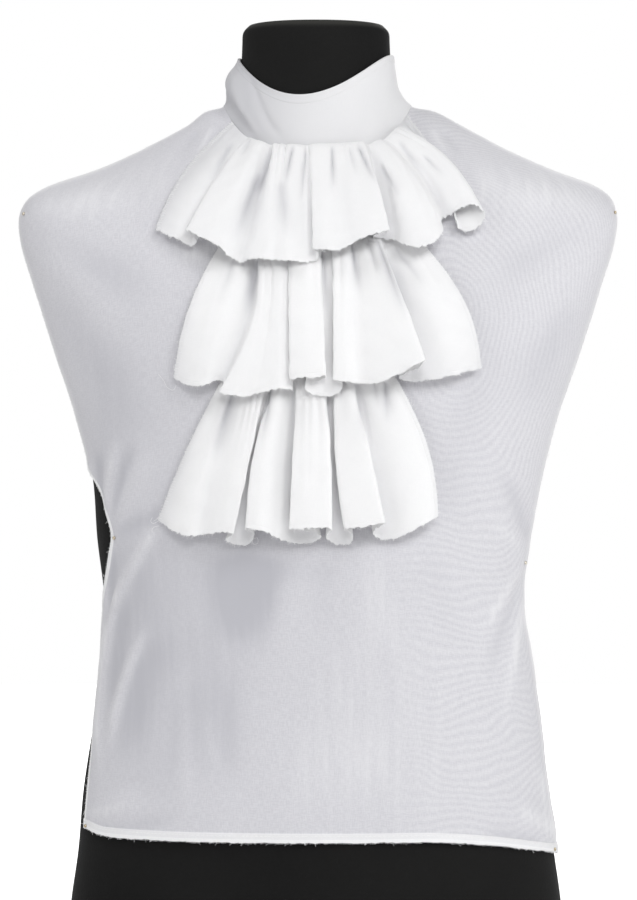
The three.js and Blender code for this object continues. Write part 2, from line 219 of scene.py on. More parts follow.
def cloth(name, middle, thick, material, place, toEdge):
    # A closed thin shell about a grid of points, whose rows go up and columns go right.
    # Each point keeps its place on the flat cloth and its distance from the nearest cut edge.
    rows, columns = middle.shape[:2]
    out = normalsOf(middle)
    half = np.broadcast_to(np.asarray(thick, float) / 2, (rows, columns))[..., None]
    points = np.concatenate([(middle + out * half).reshape(-1, 3), (middle - out * half).reshape(-1, 3)])
    outer = gridFaces(rows, columns)
    count = rows * columns
    index = np.arange(count).reshape(rows, columns)
    rim = np.concatenate([index[0, :-1], index[:-1, -1], index[-1, :0:-1], index[:0:-1, 0]])
    following = np.roll(rim, -1)
    sides = np.stack([following, rim, rim + count, following + count], axis=-1)
    faces = np.concatenate([outer, outer[:, ::-1] + count, sides])
    made = meshObject(name, points, faces.tolist(), material)
    flat = np.concatenate([place, np.zeros((rows, columns, 1))], axis=-1).reshape(-1, 3) * mm
    kept = made.data.attributes.new("clothPlace", "FLOAT_VECTOR", "POINT")
    kept.data.foreach_set("vector", np.concatenate([flat, flat]).ravel())
    keepValues(made, "toEdge", toEdge * mm)
    return made


def tubes(name, runs, across, radius, material, sides=5):
    # Many threads in one mesh: runs are paths of points, and across lies square to each path
    count, steps = runs.shape[:2]
    along = unit(np.gradient(runs, axis=1))
    lift = unit(np.cross(along, np.broadcast_to(across[:, None], runs.shape)))
    aside = np.cross(lift, along)
    turn = np.arange(sides) / sides * fullTurn
    thick = np.broadcast_to(np.asarray(radius, float), (count, steps))[..., None, None]
    ring = aside[:, :, None] * np.cos(turn)[:, None] + lift[:, :, None] * np.sin(turn)[:, None]
    points = (runs[:, :, None] + ring * thick).reshape(-1, 3)
    start = np.arange(count)[:, None, None] * steps * sides
    row = start + np.arange(steps - 1)[:, None] * sides
    here, after = np.arange(sides), (np.arange(sides) + 1) % sides
    quads = np.stack([row + here, row + after, row + after + sides, row + here + sides], axis=-1)
    faces = quads.reshape(-1, 4).tolist()
    first = (start[:, :, 0] + here[::-1]).tolist()
    last = (start[:, :, 0] + (steps - 1) * sides + here).tolist()
    return meshObject(name, points, faces + first + last, material)


def lengthsAlong(points):
    steps = np.linalg.norm(np.diff(points, axis=0), axis=-1)
    return np.concatenate([[0], np.cumsum(steps)])


def edgeOf(grid, side, inRow):
    # One edge of a grid: its points, their way into the cloth and their way out of its face
    out = normalsOf(grid)
    if side in ("left", "right"):
        grid, out = grid.transpose(1, 0, 2), out.transpose(1, 0, 2)
    if side in ("right", "top"):
        grid, out = grid[::-1], out[::-1]
    return grid[0], unit(grid[inRow] - grid[0]), out[0]


def spread(edge, spacing, dice, uneven=0.25):
    # Places along an edge at about this spacing, with the edge's points and ways worked out there
    run = lengthsAlong(edge[0])
    places = np.arange(spacing / 2, run[-1] - spacing / 2, spacing)
    places = places + dice.uniform(-uneven, uneven, len(places)) * spacing
    at, inward, out = (
        np.stack([np.interp(places, run, part[:, k]) for k in range(3)], axis=-1) for part in edge
    )
    return at, unit(inward), unit(out)


def newGroup(name, inputs, outputs):
    # The group of a shader effect that several materials share
    group = bpy.data.node_groups.new(name, "ShaderNodeTree")
    for label, kind, value in inputs:
        socket = group.interface.new_socket(label, in_out="INPUT", socket_type="NodeSocket" + kind)
        if value is not None:
            socket.default_value = value
    for label, kind in outputs:
        group.interface.new_socket(label, in_out="OUTPUT", socket_type="NodeSocket" + kind)
    return group, group.nodes.new("NodeGroupInput"), group.nodes.new("NodeGroupOutput")


class Wiring:
    # Short ways to add and join nodes in one tree
    def __init__(self, tree):
        self.tree = tree

    def node(self, kind, **settings):
        made = self.tree.nodes.new("ShaderNode" + kind)
        for key, value in settings.items():
            setattr(made, key, value)
        return made

    def join(self, source, target):
        if hasattr(source, "is_output"):
            self.tree.links.new(source, target)
        else:
            target.default_value = source

    def math(self, operation, *values):
        made = self.node("Math", operation=operation)
        for value, socket in zip(values, made.inputs):
            self.join(value, socket)
        return made.outputs[0]

    def stretch(self, vector, scale):
        made = self.node("VectorMath", operation="MULTIPLY")
        self.join(vector, made.inputs[0])
        made.inputs[1].default_value = scale
        return made.outputs[0]

    def noise(self, vector, scale, detail=2.0, rough=0.5):
        made = self.node("TexNoise")
        self.join(vector, made.inputs["Vector"])
        self.join(scale, made.inputs["Scale"])
        made.inputs["Detail"].default_value = detail
        made.inputs["Roughness"].default_value = rough
        return made.outputs["Fac"]

    def mapped(self, value, low, high, toLow, toHigh):
        made = self.node("MapRange", interpolation_type="SMOOTHSTEP")
        for item, socket in zip((value, low, high, toLow, toHigh), made.inputs):
            self.join(item, socket)
        return made.outputs[0]

    def blend(self, share, first, second, kind="MIX"):
        made = self.node("Mix", data_type="RGBA", blend_type=kind)
        self.join(share, made.inputs[0])
        self.join(first, made.inputs[6])
        self.join(second, made.inputs[7])
        return made.outputs[2]


def plainWeaveGroup():
    # Threads over and under each other, some thicker than others
    group, given, result = newGroup(
        "plainWeave",
        [("Place", "Vector", None), ("Threads", "Float", 2400.0), ("Unevenness", "Float", 0.5)],
        [("Height", "Float"), ("Thin Places", "Float")],
    )
    w = Wiring(group)
    place, threads, uneven = given.outputs[0], given.outputs[1], given.outputs[2]
    parts = w.node("SeparateXYZ")
    w.join(place, parts.inputs[0])
    pulled = w.noise(place, 90.0, 2.0)
    waves = []
    for axis in (0, 1):
        swayed = w.math("MULTIPLY_ADD", pulled, 0.0012, parts.outputs[axis])
        turned = w.math("MULTIPLY", swayed, threads)
        waves.append(w.math("SINE", w.math("MULTIPLY", turned, math.pi)))
    crossing = w.math("MULTIPLY", waves[0], waves[1])
    slubsUp = w.noise(w.stretch(place, (1.0, 0.12, 1.0)), 1500.0, 2.0, 0.6)
    slubsAcross = w.noise(w.stretch(place, (0.12, 1.0, 1.0)), 1500.0, 2.0, 0.6)
    slubs = w.math("ADD", slubsUp, slubsAcross)
    thicker = w.math("SUBTRACT", slubs, 1.0)
    height = w.math("MULTIPLY_ADD", thicker, uneven, w.math("MULTIPLY", crossing, 0.35))
    w.join(height, result.inputs[0])
    w.join(w.mapped(slubs, 0.82, 1.18, 1.0, 0.0), result.inputs[1])
    return group


def softWearGroup():
    # Broad uneven handling marks, and the nap of the cloth
    group, given, result = newGroup(
        "softWear",
        [("Place", "Vector", None), ("Size", "Float", 14.0)],
        [("Broad", "Float"), ("Nap", "Float")],
    )
    w = Wiring(group)
    broad = w.noise(given.outputs[0], given.outputs[1], 3.0, 0.55)
    w.join(w.mapped(broad, 0.3, 0.7, 0.0, 1.0), result.inputs[0])
    w.join(w.noise(given.outputs[0], 1900.0, 2.0, 0.7), result.inputs[1])
    return group


plainWeave = plainWeaveGroup()
softWear = softWearGroup()


def newMaterial(name, **constants):
    made = bpy.data.materials.new(name)
    made.use_nodes = True
    w = Wiring(made.node_tree)
    shader = made.node_tree.nodes["Principled BSDF"]
    for key, value in constants.items():
        shader.inputs[key.replace("_", " ")].default_value = value
    return made, w, shader


def useGroup(w, group, **values):
    made = w.node("Group", node_tree=group)
    for key, value in values.items():
        w.join(value, made.inputs[key])
    return made


def attribute(w, name, output):
    return w.node("Attribute", attribute_name=name).outputs[output]


def bumpFrom(w, shader, height, strength, distance):
    bump = w.node("Bump")
    bump.inputs["Strength"].default_value = strength
    bump.inputs["Distance"].default_value = distance
    w.join(height, bump.inputs["Height"])
    w.join(bump.outputs[0], shader.inputs["Normal"])


def jerseyMaterial():
    look = {
        "yarn": (0.0062, 0.0062, 0.0063, 1),
        "dusty": (0.0090, 0.0090, 0.0088, 1),
        "topDust": (0.034, 0.034, 0.031, 1),
        "loops": (620.0, 480.0, 480.0),
    }
    made, w, shader = newMaterial(
        "formJersey", Roughness=0.8, Specular_IOR_Level=0.14, Sheen_Weight=0.035, Sheen_Roughness=0.4
    )
    place = w.node("TexCoord").outputs["Object"]
    wear = useGroup(w, softWear, Place=place, Size=7.0)
    loops = w.node("TexVoronoi")
    w.join(w.stretch(place, look["loops"]), loops.inputs["Vector"])
    loops.inputs["Scale"].default_value = 1.0
    yarn = w.blend(wear.outputs["Broad"], look["yarn"], look["dusty"])
    # Painted highlight: what faces up, such as the rim of the neck, is made lighter as if it caught the
    # light from above
    facing = w.node("SeparateXYZ")
    w.join(w.node("NewGeometry").outputs["Normal"], facing.inputs[0])
    upward = w.mapped(facing.outputs[2], 0.25, 0.8, 0.0, 1.0)
    w.join(w.blend(upward, yarn, look["topDust"]), shader.inputs["Base Color"])
    w.join(w.mapped(wear.outputs["Nap"], 0.3, 0.7, 0.74, 0.9), shader.inputs["Roughness"])
    bumpFrom(w, shader, w.math("ADD", loops.outputs["Distance"], wear.outputs["Nap"]), 0.35, 0.0003)
    return made


def sheerMaterial():
    # Thin white threads that the black form darkens from behind. Where the cloth is doubled or overcast,
    # less of the form shows through.
    look = {
        "thin": (0.600, 0.596, 0.632, 1),
        "close": (0.672, 0.669, 0.703, 1),
        "doubled": (0.90, 0.90, 0.905, 1),
        "hiding": (0.840, 0.838, 0.856, 1),
        "tight": (0.500, 0.500, 0.540, 1),
        "band": 0.0034,
        "hem": 0.66,
        "slant": 0.75,
        "shimmer": {"place": (0.105, 0.275, 0.0), "turns": 1430.0, "sway": 0.03, "most": 0.145},
    }
    made, w, shader = newMaterial("sheerCotton", Roughness=0.86, Sheen_Weight=0.22, Sheen_Roughness=0.5)
    shader.inputs["Sheen Tint"].default_value = (1, 1, 1, 1)
    place = attribute(w, "clothPlace", "Vector")
    weave = useGroup(w, plainWeave, Place=place, Threads=2300.0, Unevenness=0.8)
    wear = useGroup(w, softWear, Place=place, Size=11.0)
    threads = w.blend(weave.outputs["Thin Places"], look["close"], look["thin"])
    # The weave and the form's own knit cross in faint curved lines at the right of the chest
    shimmer = look["shimmer"]
    away = w.node("VectorMath", operation="DISTANCE")
    w.join(w.stretch(place, (1.0, 0.68, 1.0)), away.inputs[0])
    away.inputs[1].default_value = shimmer["place"]
    swayed = w.math("MULTIPLY_ADD", w.noise(place, 14.0, 1.0), shimmer["sway"], away.outputs["Value"])
    lines = w.math("SINE", w.math("MULTIPLY", swayed, shimmer["turns"]))
    side = w.node("SeparateXYZ")
    w.join(place, side.inputs[0])
    shown = w.mapped(side.outputs[0], 0.04, 0.11, 0.0, shimmer["most"])
    glint = w.math("MULTIPLY", w.math("MULTIPLY_ADD", lines, 0.5, 0.5), shown)
    threads = w.blend(glint, threads, (1, 1, 1, 1))
    threads = w.blend(w.math("MULTIPLY", wear.outputs["Broad"], 0.10), threads, look["thin"])
    # Ironed streaks run up and down the cloth
    streaks = w.noise(w.stretch(place, (1.0, 0.09, 1.0)), 130.0, 3.0, 0.6)
    streaked = w.math("MULTIPLY_ADD", streaks, 1.4, 0.3)
    # This attribute is partly how much of the form the cloth hides and partly painted light and shade
    # from the bib's patches and creases: lighter where it is positive, darker where it is negative
    hidden = w.math("MULTIPLY", attribute(w, "hidden", "Fac"), streaked)
    hidden = w.math("MULTIPLY_ADD", w.math("SUBTRACT", streaks, 0.5), 0.35, hidden)
    threads = w.blend(w.mapped(hidden, 0.0, 1.0, 0.0, 1.0), threads, look["hiding"])
    threads = w.blend(w.mapped(hidden, -1.0, 0.0, 1.0, 0.0), threads, look["tight"])
    # Seen along its face, the cloth hides the form behind more of its threads
    slanted = w.node("LayerWeight")
    slanted.inputs["Blend"].default_value = 0.5
    slant = w.mapped(slanted.outputs["Facing"], 0.72, 0.95, 0.0, look["slant"])
    threads = w.blend(slant, threads, look["hiding"])
    edge = w.mapped(attribute(w, "toEdge", "Fac"), look["band"] * 0.8, look["band"] * 1.2, 1.0, 0.0)
    stitched = w.math("MULTIPLY", edge, w.mapped(wear.outputs["Nap"], 0.25, 0.6, 0.6, 1.0))
    hem = w.math("MULTIPLY", attribute(w, "doubled", "Fac"), look["hem"])
    both = w.math("MAXIMUM", stitched, hem)
    w.join(w.blend(both, threads, look["doubled"]), shader.inputs["Base Color"])
    w.join(w.mapped(weave.outputs["Thin Places"], 0.0, 1.0, 0.82, 0.92), shader.inputs["Roughness"])
    bumpFrom(w, shader, weave.outputs["Height"], 0.30, 0.00016)
    return made


def cottonMaterial():
    look = {
        "white": (0.900, 0.899, 0.903, 1),
        "valley": (0.868, 0.868, 0.878, 1),
        "fold": (0.560, 0.560, 0.585, 1),
        "hemLine": 0.0032,
    }
    made, w, shader = newMaterial("whiteCotton", Roughness=0.88, Sheen_Weight=0.15, Sheen_Roughness=0.5)
    place = attribute(w, "clothPlace", "Vector")
    weave = useGroup(w, plainWeave, Place=place, Threads=2500.0, Unevenness=0.6)
    wear = useGroup(w, softWear, Place=place, Size=26.0)
    thin = w.math("MULTIPLY", weave.outputs["Thin Places"], 0.45)
    grey = w.math("MULTIPLY_ADD", wear.outputs["Broad"], 0.25, thin)
    faced = w.blend(grey, look["white"], look["valley"])
    # Painted shade: the sunk attribute greys the cloth at the bottom of folds and in sharp valleys,
    # evenly over some ruffles, and over the collar, most at its left
    w.join(w.blend(attribute(w, "sunk", "Fac"), faced, look["fold"]), shader.inputs["Base Color"])
    # The dent of the stitching a few millimetres inside the cut edge
    toEdge = attribute(w, "toEdge", "Fac")
    dent = w.math("ABSOLUTE", w.math("SUBTRACT", toEdge, look["hemLine"]))
    groove = w.mapped(dent, 0.0, 0.0006, -1.4, 0.0)
    w.join(w.mapped(wear.outputs["Nap"], 0.2, 0.8, 0.82, 0.94), shader.inputs["Roughness"])
    bumpFrom(w, shader, w.math("ADD", weave.outputs["Height"], groove), 0.35, 0.00022)
    return made


def threadMaterial():
    look = {"bright": (0.90, 0.90, 0.90, 1), "dull": (0.80, 0.80, 0.81, 1)}
    made, w, shader = newMaterial("cottonThread", Roughness=0.75, Sheen_Weight=0.1)
    place = w.node("TexCoord").outputs["Object"]
    wear = useGroup(w, softWear, Place=place, Size=300.0)
    w.join(w.blend(wear.outputs["Broad"], look["bright"], look["dull"]), shader.inputs["Base Color"])
    bumpFrom(w, shader, w.noise(place, 5200.0, 1.0), 0.4, 0.0001)
    return made


def pinMaterial():
    look = {"bright": (0.83, 0.79, 0.70, 1), "dull": (0.55, 0.44, 0.27, 1)}
    made, w, shader = newMaterial("pinBrass", Roughness=0.28, Metallic=1.0)
    place = w.node("TexCoord").outputs["Object"]
    wear = useGroup(w, softWear, Place=place, Size=160.0)
    w.join(w.blend(wear.outputs["Broad"], look["bright"], look["dull"]), shader.inputs["Base Color"])
    w.join(w.mapped(wear.outputs["Nap"], 0.3, 0.7, 0.22, 0.42), shader.inputs["Roughness"])
    return made


jersey = jerseyMaterial()
sheerCotton = sheerMaterial()
whiteCotton = cottonMaterial()
cottonThread = threadMaterial()
pinBrass = pinMaterial()
print("materials made")


def dressed(piece, slot, *nodes):
    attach(piece, "root")
    if nodes:
        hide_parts(*nodes)
    return piece


def makeForm():
    columns = form["columns"]
    last = len(rings) - 1
    places = np.linspace(0, last, last * form["rowsPerRing"] + 1)
    angles = np.arange(columns) / columns * fullTurn
    body = onForm(places[:, None], angles[None])
    share = 1 - np.arange(1, form["capRows"]) / form["capRows"]
    top = body[-1] * np.array([1, 1, 0]) * share[:, None, None]
    top[..., 2] = body[-1, :, 2] + form["dome"] * (1 - share[:, None] ** 2)
    under = body[0] * share[::-1, None, None]
    grid = np.concatenate([under, body, top])
    rows = len(grid)
    start = (np.arange(rows - 1)[:, None] * columns).ravel()[:, None]
    here, after = np.arange(columns), (np.arange(columns) + 1) % columns
    left, right = start + here, start + after
    quads = np.stack([left, right, right + columns, left + columns], axis=-1)
    points = np.concatenate([grid.reshape(-1, 3), [[0, 0, 0], [0, 0, top[0, 0, 2] + form["dome"]]]])
    low, high = rows * columns, rows * columns + 1
    final = (rows - 1) * columns
    caps = [[low, int(b), int(a)] for a, b in zip(here, after)]
    caps += [[high, final + int(a), final + int(b)] for a, b in zip(here, after)]
    made = meshObject("torso_form_jersey", points, quads.reshape(-1, 4).tolist() + caps, jersey)
    return dressed(made, "form_jersey", "torso_form")


dressForm = makeForm()
print("form made")


def creaseFrame(x, z, start, finish):
    # How far points lie down a crease, as a share of its length, how far aside, and its length
    alongX, alongZ = finish[0] - start[0], finish[1] - start[1]
    run = math.hypot(alongX, alongZ)
    down = ((x - start[0]) * alongX + (z - start[1]) * alongZ) / run**2
    aside = ((x - start[0]) * alongZ - (z - start[1]) * alongX) / run
    return down, aside, run


# The bib. Its side edges are angles from the middle of the front, at heights on the form's side.
# Creases run from one point to another, seen from the front or the back: rise is positive on a ridge.
bib = {
    "clear": 1.3,
    "wall": 1.1,
    "thick": 0.55,
    "seamGap": 0.1,
    "columns": 176,
    "rows": 196,
    "bridge": {"depth": 9, "from": 130, "to": 440},
    "hem": {"height": 99, "width": 6.6, "rise": 0.75, "step": 0.8},
    "hemLine": {"rightDrop": 19, "dropFrom": 0.25, "leftRise": 4, "riseFrom": -0.8},
    "hemRows": [0, 0.3, 0.9, 2.2, 3.6, 5, 6.1, 6.6, 7, 7.4, 8.6],
    "edges": [
        [80, 67.5, 87],
        [139, 70.5, 87],
        [196, 75.5, 87],
        [232, 79, 86.5],
        [252, 80, 86],
        [272, 73.5, 85.5],
        [302, 64.5, 85],
        [318, 60.5, 84.5],
        [334, 58.5, 84],
        [352, 61, 84.5],
        [371, 67, 85],
        [389, 75.5, 85.5],
        [430, 84, 86],
        [566, 87, 87],
        [595, 93, 93],
        [607, 104, 104],
        [640, 109, 109],
        [680, 114, 114],
    ],
    "creases": [
        # side, fromX, fromZ, toX, toZ, width, rise
        [1, -178, 392, -162, 342, 3, 2.0],
        [1, -168, 398, -160, 342, 3.4, -1.4],
        [1, -154, 404, -159, 340, 4, 2.1],
        [1, -141, 402, -157, 338, 4.6, -1.3],
        [1, -126, 396, -154, 334, 6, 0.9],
        [1, -112, 352, -156, 333, 6.5, -1.0],
        [1, -157, 328, -161, 262, 2.8, 1.8],
        [1, -152, 322, -156, 262, 4.4, -1.2],
        [1, -119, 342, -149, 284, 4.6, 2.2],
        [1, -145, 300, -163, 228, 3.8, 2.5],
        [1, -160, 252, -169, 140, 3.8, 2.2],
        [1, -142, 282, -158, 200, 7, -1.1],
        [1, -130, 256, -163, 160, 4.4, 2.4],
        [1, -122, 250, -150, 160, 10, -0.8],
        [1, -98, 236, -124, 150, 12, 0.7],
        [1, -178, 112, -132, 132, 7, 1.2],
        [1, -172, 104, -104, 116, 7, -0.9],
        [1, -97, 205, -96, 112, 6, 0.7],
        [1, -82, 196, -76, 150, 4, 0.5],
        [1, -66, 226, -60, 132, 9, -0.5],
        [1, 161, 312, 122, 250, 5, 1.2],
        [1, 162, 306, 128, 214, 7, -1.0],
        [1, 163, 300, 146, 190, 4.5, 1.5],
        [1, 163, 318, 128, 350, 6, 0.9],
        [1, 164, 322, 140, 390, 8, -1.2],
        [1, 188, 92, 150, 124, 7, 1.1],
        [1, 186, 96, 168, 160, 6, 0.9],
        [1, 178, 90, 120, 104, 9, -1.2],
        [1, -218, 584, -142, 604, 14, 0.6],
        [1, -224, 576, -120, 520, 16, -0.8],
        [1, -218, 562, -126, 478, 15, 0.6],
        [1, -206, 530, -140, 430, 17, -0.7],
        [1, 222, 586, 150, 604, 14, 0.5],
        [1, 226, 578, 128, 528, 17, -0.8],
        [1, 222, 566, 146, 476, 15, 0.5],
        [1, 204, 520, 158, 420, 16, -0.7],
        [1, -72, 656, -80, 632, 3.6, -1.0],
        [1, -80, 656, -92, 626, 3.8, 0.8],
        [1, -92, 652, -106, 628, 4.6, -1.0],
        [1, 90, 654, 104, 628, 5, 0.8],
        [1, 100, 650, 116, 628, 5, -1.0],
        [1, -54, 318, -60, 250, 13, -0.7],
        [1, -18, 316, -24, 238, 10, 0.5],
        [1, 8, 318, 12, 246, 12, -0.7],
        [1, 40, 322, 58, 236, 15, 0.5],
        [1, 84, 330, 112, 220, 16, -0.6],
        [1, -140, 420, -126, 300, 20, 0.5],
        [1, 128, 470, 96, 330, 20, -0.6],
        [-1, -150, 640, -100, 668, 9, 1.2],
        [-1, -120, 636, -80, 664, 8, -1.0],
        [-1, 150, 640, 100, 668, 9, 1.2],
        [-1, 112, 636, 84, 662, 8, -1.0],
    ],
    "patches": [
        # x, z, half width, half height, how much of the form is hidden (less where it lies tight); the
        # amounts are also painted light where positive and painted shade where negative, such as the
        # darker left side and the shadow under the bottom ruffle
        [-168, 592, 62, 26, 0.16],
        [-118, 610, 40, 24, 0.2],
        [-92, 553, 22, 15, 0.5],
        [150, 600, 70, 30, 0.3],
        [152, 492, 56, 60, -0.22],
        [-150, 506, 42, 60, -0.3],
        [-150, 410, 40, 50, -0.45],
        [-130, 330, 46, 60, -0.3],
        [-112, 200, 66, 74, -0.75],
        [-134, 300, 30, 50, -0.35],
        [-56, 304, 26, 26, -0.6],
        [-50, 282, 28, 32, -0.75],
        [-32, 308, 42, 12, -0.4],
        [40, 240, 50, 64, 0.12],
        [20, 190, 70, 50, 0.16],
        [30, 150, 110, 40, 0.2],
    ],
    "flare": {"out": 1.8, "high": 60, "length": 60},
    "wave": {"out": 0.32, "length": 74},
    "crumple": {"out": 0.12, "length": 23},
    "lift": {"least": -1.2, "most": 3.4},
    "tall": 600,
    "sideSway": {"turn": 0.0035, "length": 26},
    "ragged": {"high": 0.45, "length": 5, "deep": 1.6},
    # How strongly the creases paint their ridges lighter and their troughs darker
    "creaseHides": 0.38,
}
bibEdges = np.array(bib["edges"], float)


def bibClear(place, angle):
    bridge = bib["bridge"]
    above = onForm(place, angle)[..., 2] - bridge["from"]
    share = np.clip(above / (bridge["to"] - bridge["from"]), 0, 1)
    return bib["clear"] + bridge["depth"] * np.sin(math.pi * share) ** 2 * np.maximum(np.cos(angle), 0)


def bibFace(place, angle):
    return offForm(place, angle, bibClear(place, angle) + bib["wall"])


def creaseRise(points):
    # How far the creases lift or sink the cloth at these points
    x, y, z = np.moveaxis(points, -1, 0)
    total = np.zeros(x.shape)
    for side, fromX, fromZ, toX, toZ, width, rise in bib["creases"]:
        down, aside, run = creaseFrame(x, z, (fromX, fromZ), (toX, toZ))
        bend = 0.03 * run * np.sin(math.pi * np.clip(down, 0, 1))
        ends = smooth(-0.12, 0.22, down) * (1 - smooth(0.6, 1.1, down))
        facing = smooth(-8, 8, -side * y)
        total += rise * hump(aside - bend, width) * ends * facing
    return total


def seeThroughAndPaintedLight(points):
    # Broad soft patches where the cloth hides more of the form, or less, which also paint light and
    # shade, such as lighter shoulders, a darker left side and a shadow under the bottom ruffle
    x, y, z = np.moveaxis(points, -1, 0)
    total = np.zeros(x.shape)
    for atX, atZ, wide, high, amount in bib["patches"]:
        total += amount * hump(x - atX, wide) * hump(z - atZ, high)
    return total * smooth(-8, 8, -y)


def makeBib():
    hem, line, flare, wave, crumple = (bib[key] for key in ("hem", "hemLine", "flare", "wave", "crumple"))
    across = np.linspace(-1, 1, bib["columns"] + 1)[None]
    perRing = rings[hemRing + 1, 0] - rings[hemRing, 0]
    lowest = hem["height"] - line["rightDrop"] * smooth(line["dropFrom"], 1, across)
    lowest = lowest + line["leftRise"] * (1 - smooth(-1, line["riseFrom"], across))
    start = hemRing + (lowest - rings[hemRing, 0]) / perRing
    hemRows = np.array(bib["hemRows"])[:, None]
    above = start + hemRows[-1] / perRing
    rise = np.linspace(0, 1, bib["rows"] - len(hemRows) + 1)[1:, None]
    place = np.concatenate([start + hemRows / perRing, mix(above, seamRing - 0.002, rise)])
    fromHem = np.concatenate([np.broadcast_to(hemRows, (len(hemRows), across.shape[1])),
                              hemRows[-1] + rise * bib["tall"] + 0 * across])
    height = between(rings, place)[..., 0]
    reach = np.where(across < 0, lookUp(bibEdges[:, 0], bibEdges[:, 1], height),
                     lookUp(bibEdges[:, 0], bibEdges[:, 2], height))
    sway = bib["sideSway"]
    uneven = sway["turn"] * ripple(height, 40 * np.sign(across), sway["length"], 5) * np.abs(across) ** 8
    angle = across * (np.radians(reach) + uneven)
    seamPlace = seamRing - ringShare(seamRing, angle[-1], bib["seamGap"])
    place = place - (seamRing - seamPlace) * smooth(seamRing - 0.5, seamRing, place)
    base = onForm(place, angle)
    creased = creaseRise(base)
    lift = creased + wave["out"] * ripple(base[..., 0], base[..., 2], wave["length"], 11)
    lift += crumple["out"] * ripple(base[..., 0] + base[..., 1], base[..., 2], crumple["length"], 12)
    quiet = smooth(0, 14, (seamRing - place) * 12)
    lift = np.clip(lift * quiet, bib["lift"]["least"], bib["lift"]["most"])
    hemmed = 1 - smooth(hem["width"], hem["width"] + hem["step"], fromHem)
    flared = flare["out"] * (1 - smooth(0, flare["high"], fromHem))
    lift += flared * (0.7 + 0.3 * ripple(base[..., 0], 0, flare["length"], 3))
    out = bibClear(place, angle) + bib["wall"] / 2 + lift + hemmed * hem["rise"] / 2
    middle = offForm(place, angle, out)
    ragged = bib["ragged"]
    uneven = ragged["high"] * ripple(middle[..., 0], 5, ragged["length"], 9)
    uneven = uneven * (1 - smooth(0, ragged["deep"], fromHem))
    middle = middle + uneven[..., None] * np.array([0, 0, 1.0])
    thick = bib["thick"] + hemmed * hem["rise"]
    acrossStep = np.linalg.norm(np.diff(middle, axis=1, prepend=middle[:, :1]), axis=-1)
    acrossRun = np.cumsum(acrossStep, axis=1)
    centre = acrossRun[:, [acrossRun.shape[1] // 2]]
    upStep = np.linalg.norm(np.diff(middle, axis=0, prepend=middle[:1]), axis=-1)
    upRun = np.cumsum(upStep, axis=0)
    toSide = np.minimum(acrossRun, acrossRun[:, -1:] - acrossRun)
    flat = np.stack([acrossRun - centre, upRun], axis=-1)
    toEdge = np.minimum(toSide, fromHem + 0.4)
    made = cloth("bib_front_cloth", middle, thick, sheerCotton, flat, toEdge)
    # Painted light and shade: the patches, and the creases, which are lighter on ridges and darker in
    # troughs
    shown = seeThroughAndPaintedLight(base) + bib["creaseHides"] * np.clip(creased, -1.6, 2.2)
    keepValues(made, "doubled", hemmed)
    keepValues(made, "hidden", shown)
    return dressed(made, "sheer_cotton", "bib_front"), middle, thick


bibCloth, bibGrid, bibThick = makeBib()
print("bib made")

# The collar is folded in two, so it is thicker than the rest. Its dents are in radians round the neck
# and shares of its height.
collar = {
    "columns": 264,
    "rows": 38,
    "wall": 2,
    "baseClear": 0.9,
    "topClear": 1.2,
    "overlap": 0.16,
    "bulge": {"out": 9, "at": -1.3, "width": 0.6},
    "crumple": {"out": 0.16, "length": 31},
    "farFromEdge": 40.0,
    "seamGap": 0.45,
    "round": 0.9,
    "rimRows": [0, 0.12, 0.3, 0.55, 0.85, 1.25],
    "band": {"deep": 6.2, "rise": 0.28, "step": 0.7},
    "dents": [
        # fromAngle, fromUp, toAngle, toUp, width in mm, rise
        [-1.0, 0.98, -0.34, 0.12, 3.6, -1.7],
        [-1.35, 0.8, -0.6, 0.06, 4.2, 1.5],
        [-1.75, 0.62, -1.2, 0.15, 4.5, -0.9],
        [0.55, 0.35, 1.15, 0.75, 6, -0.5],
        [-2.6, 0.7, -2.1, 0.3, 6, 0.6],
        [2.0, 0.3, 2.6, 0.75, 6, -0.5],
    ],
    # Painted shade over the whole collar, most round its left side, away from the light
    "grey": {"least": 0.36, "more": 0.7, "at": -1.15, "width": 0.8},
    "girth": 64,
    "high": 43,
}


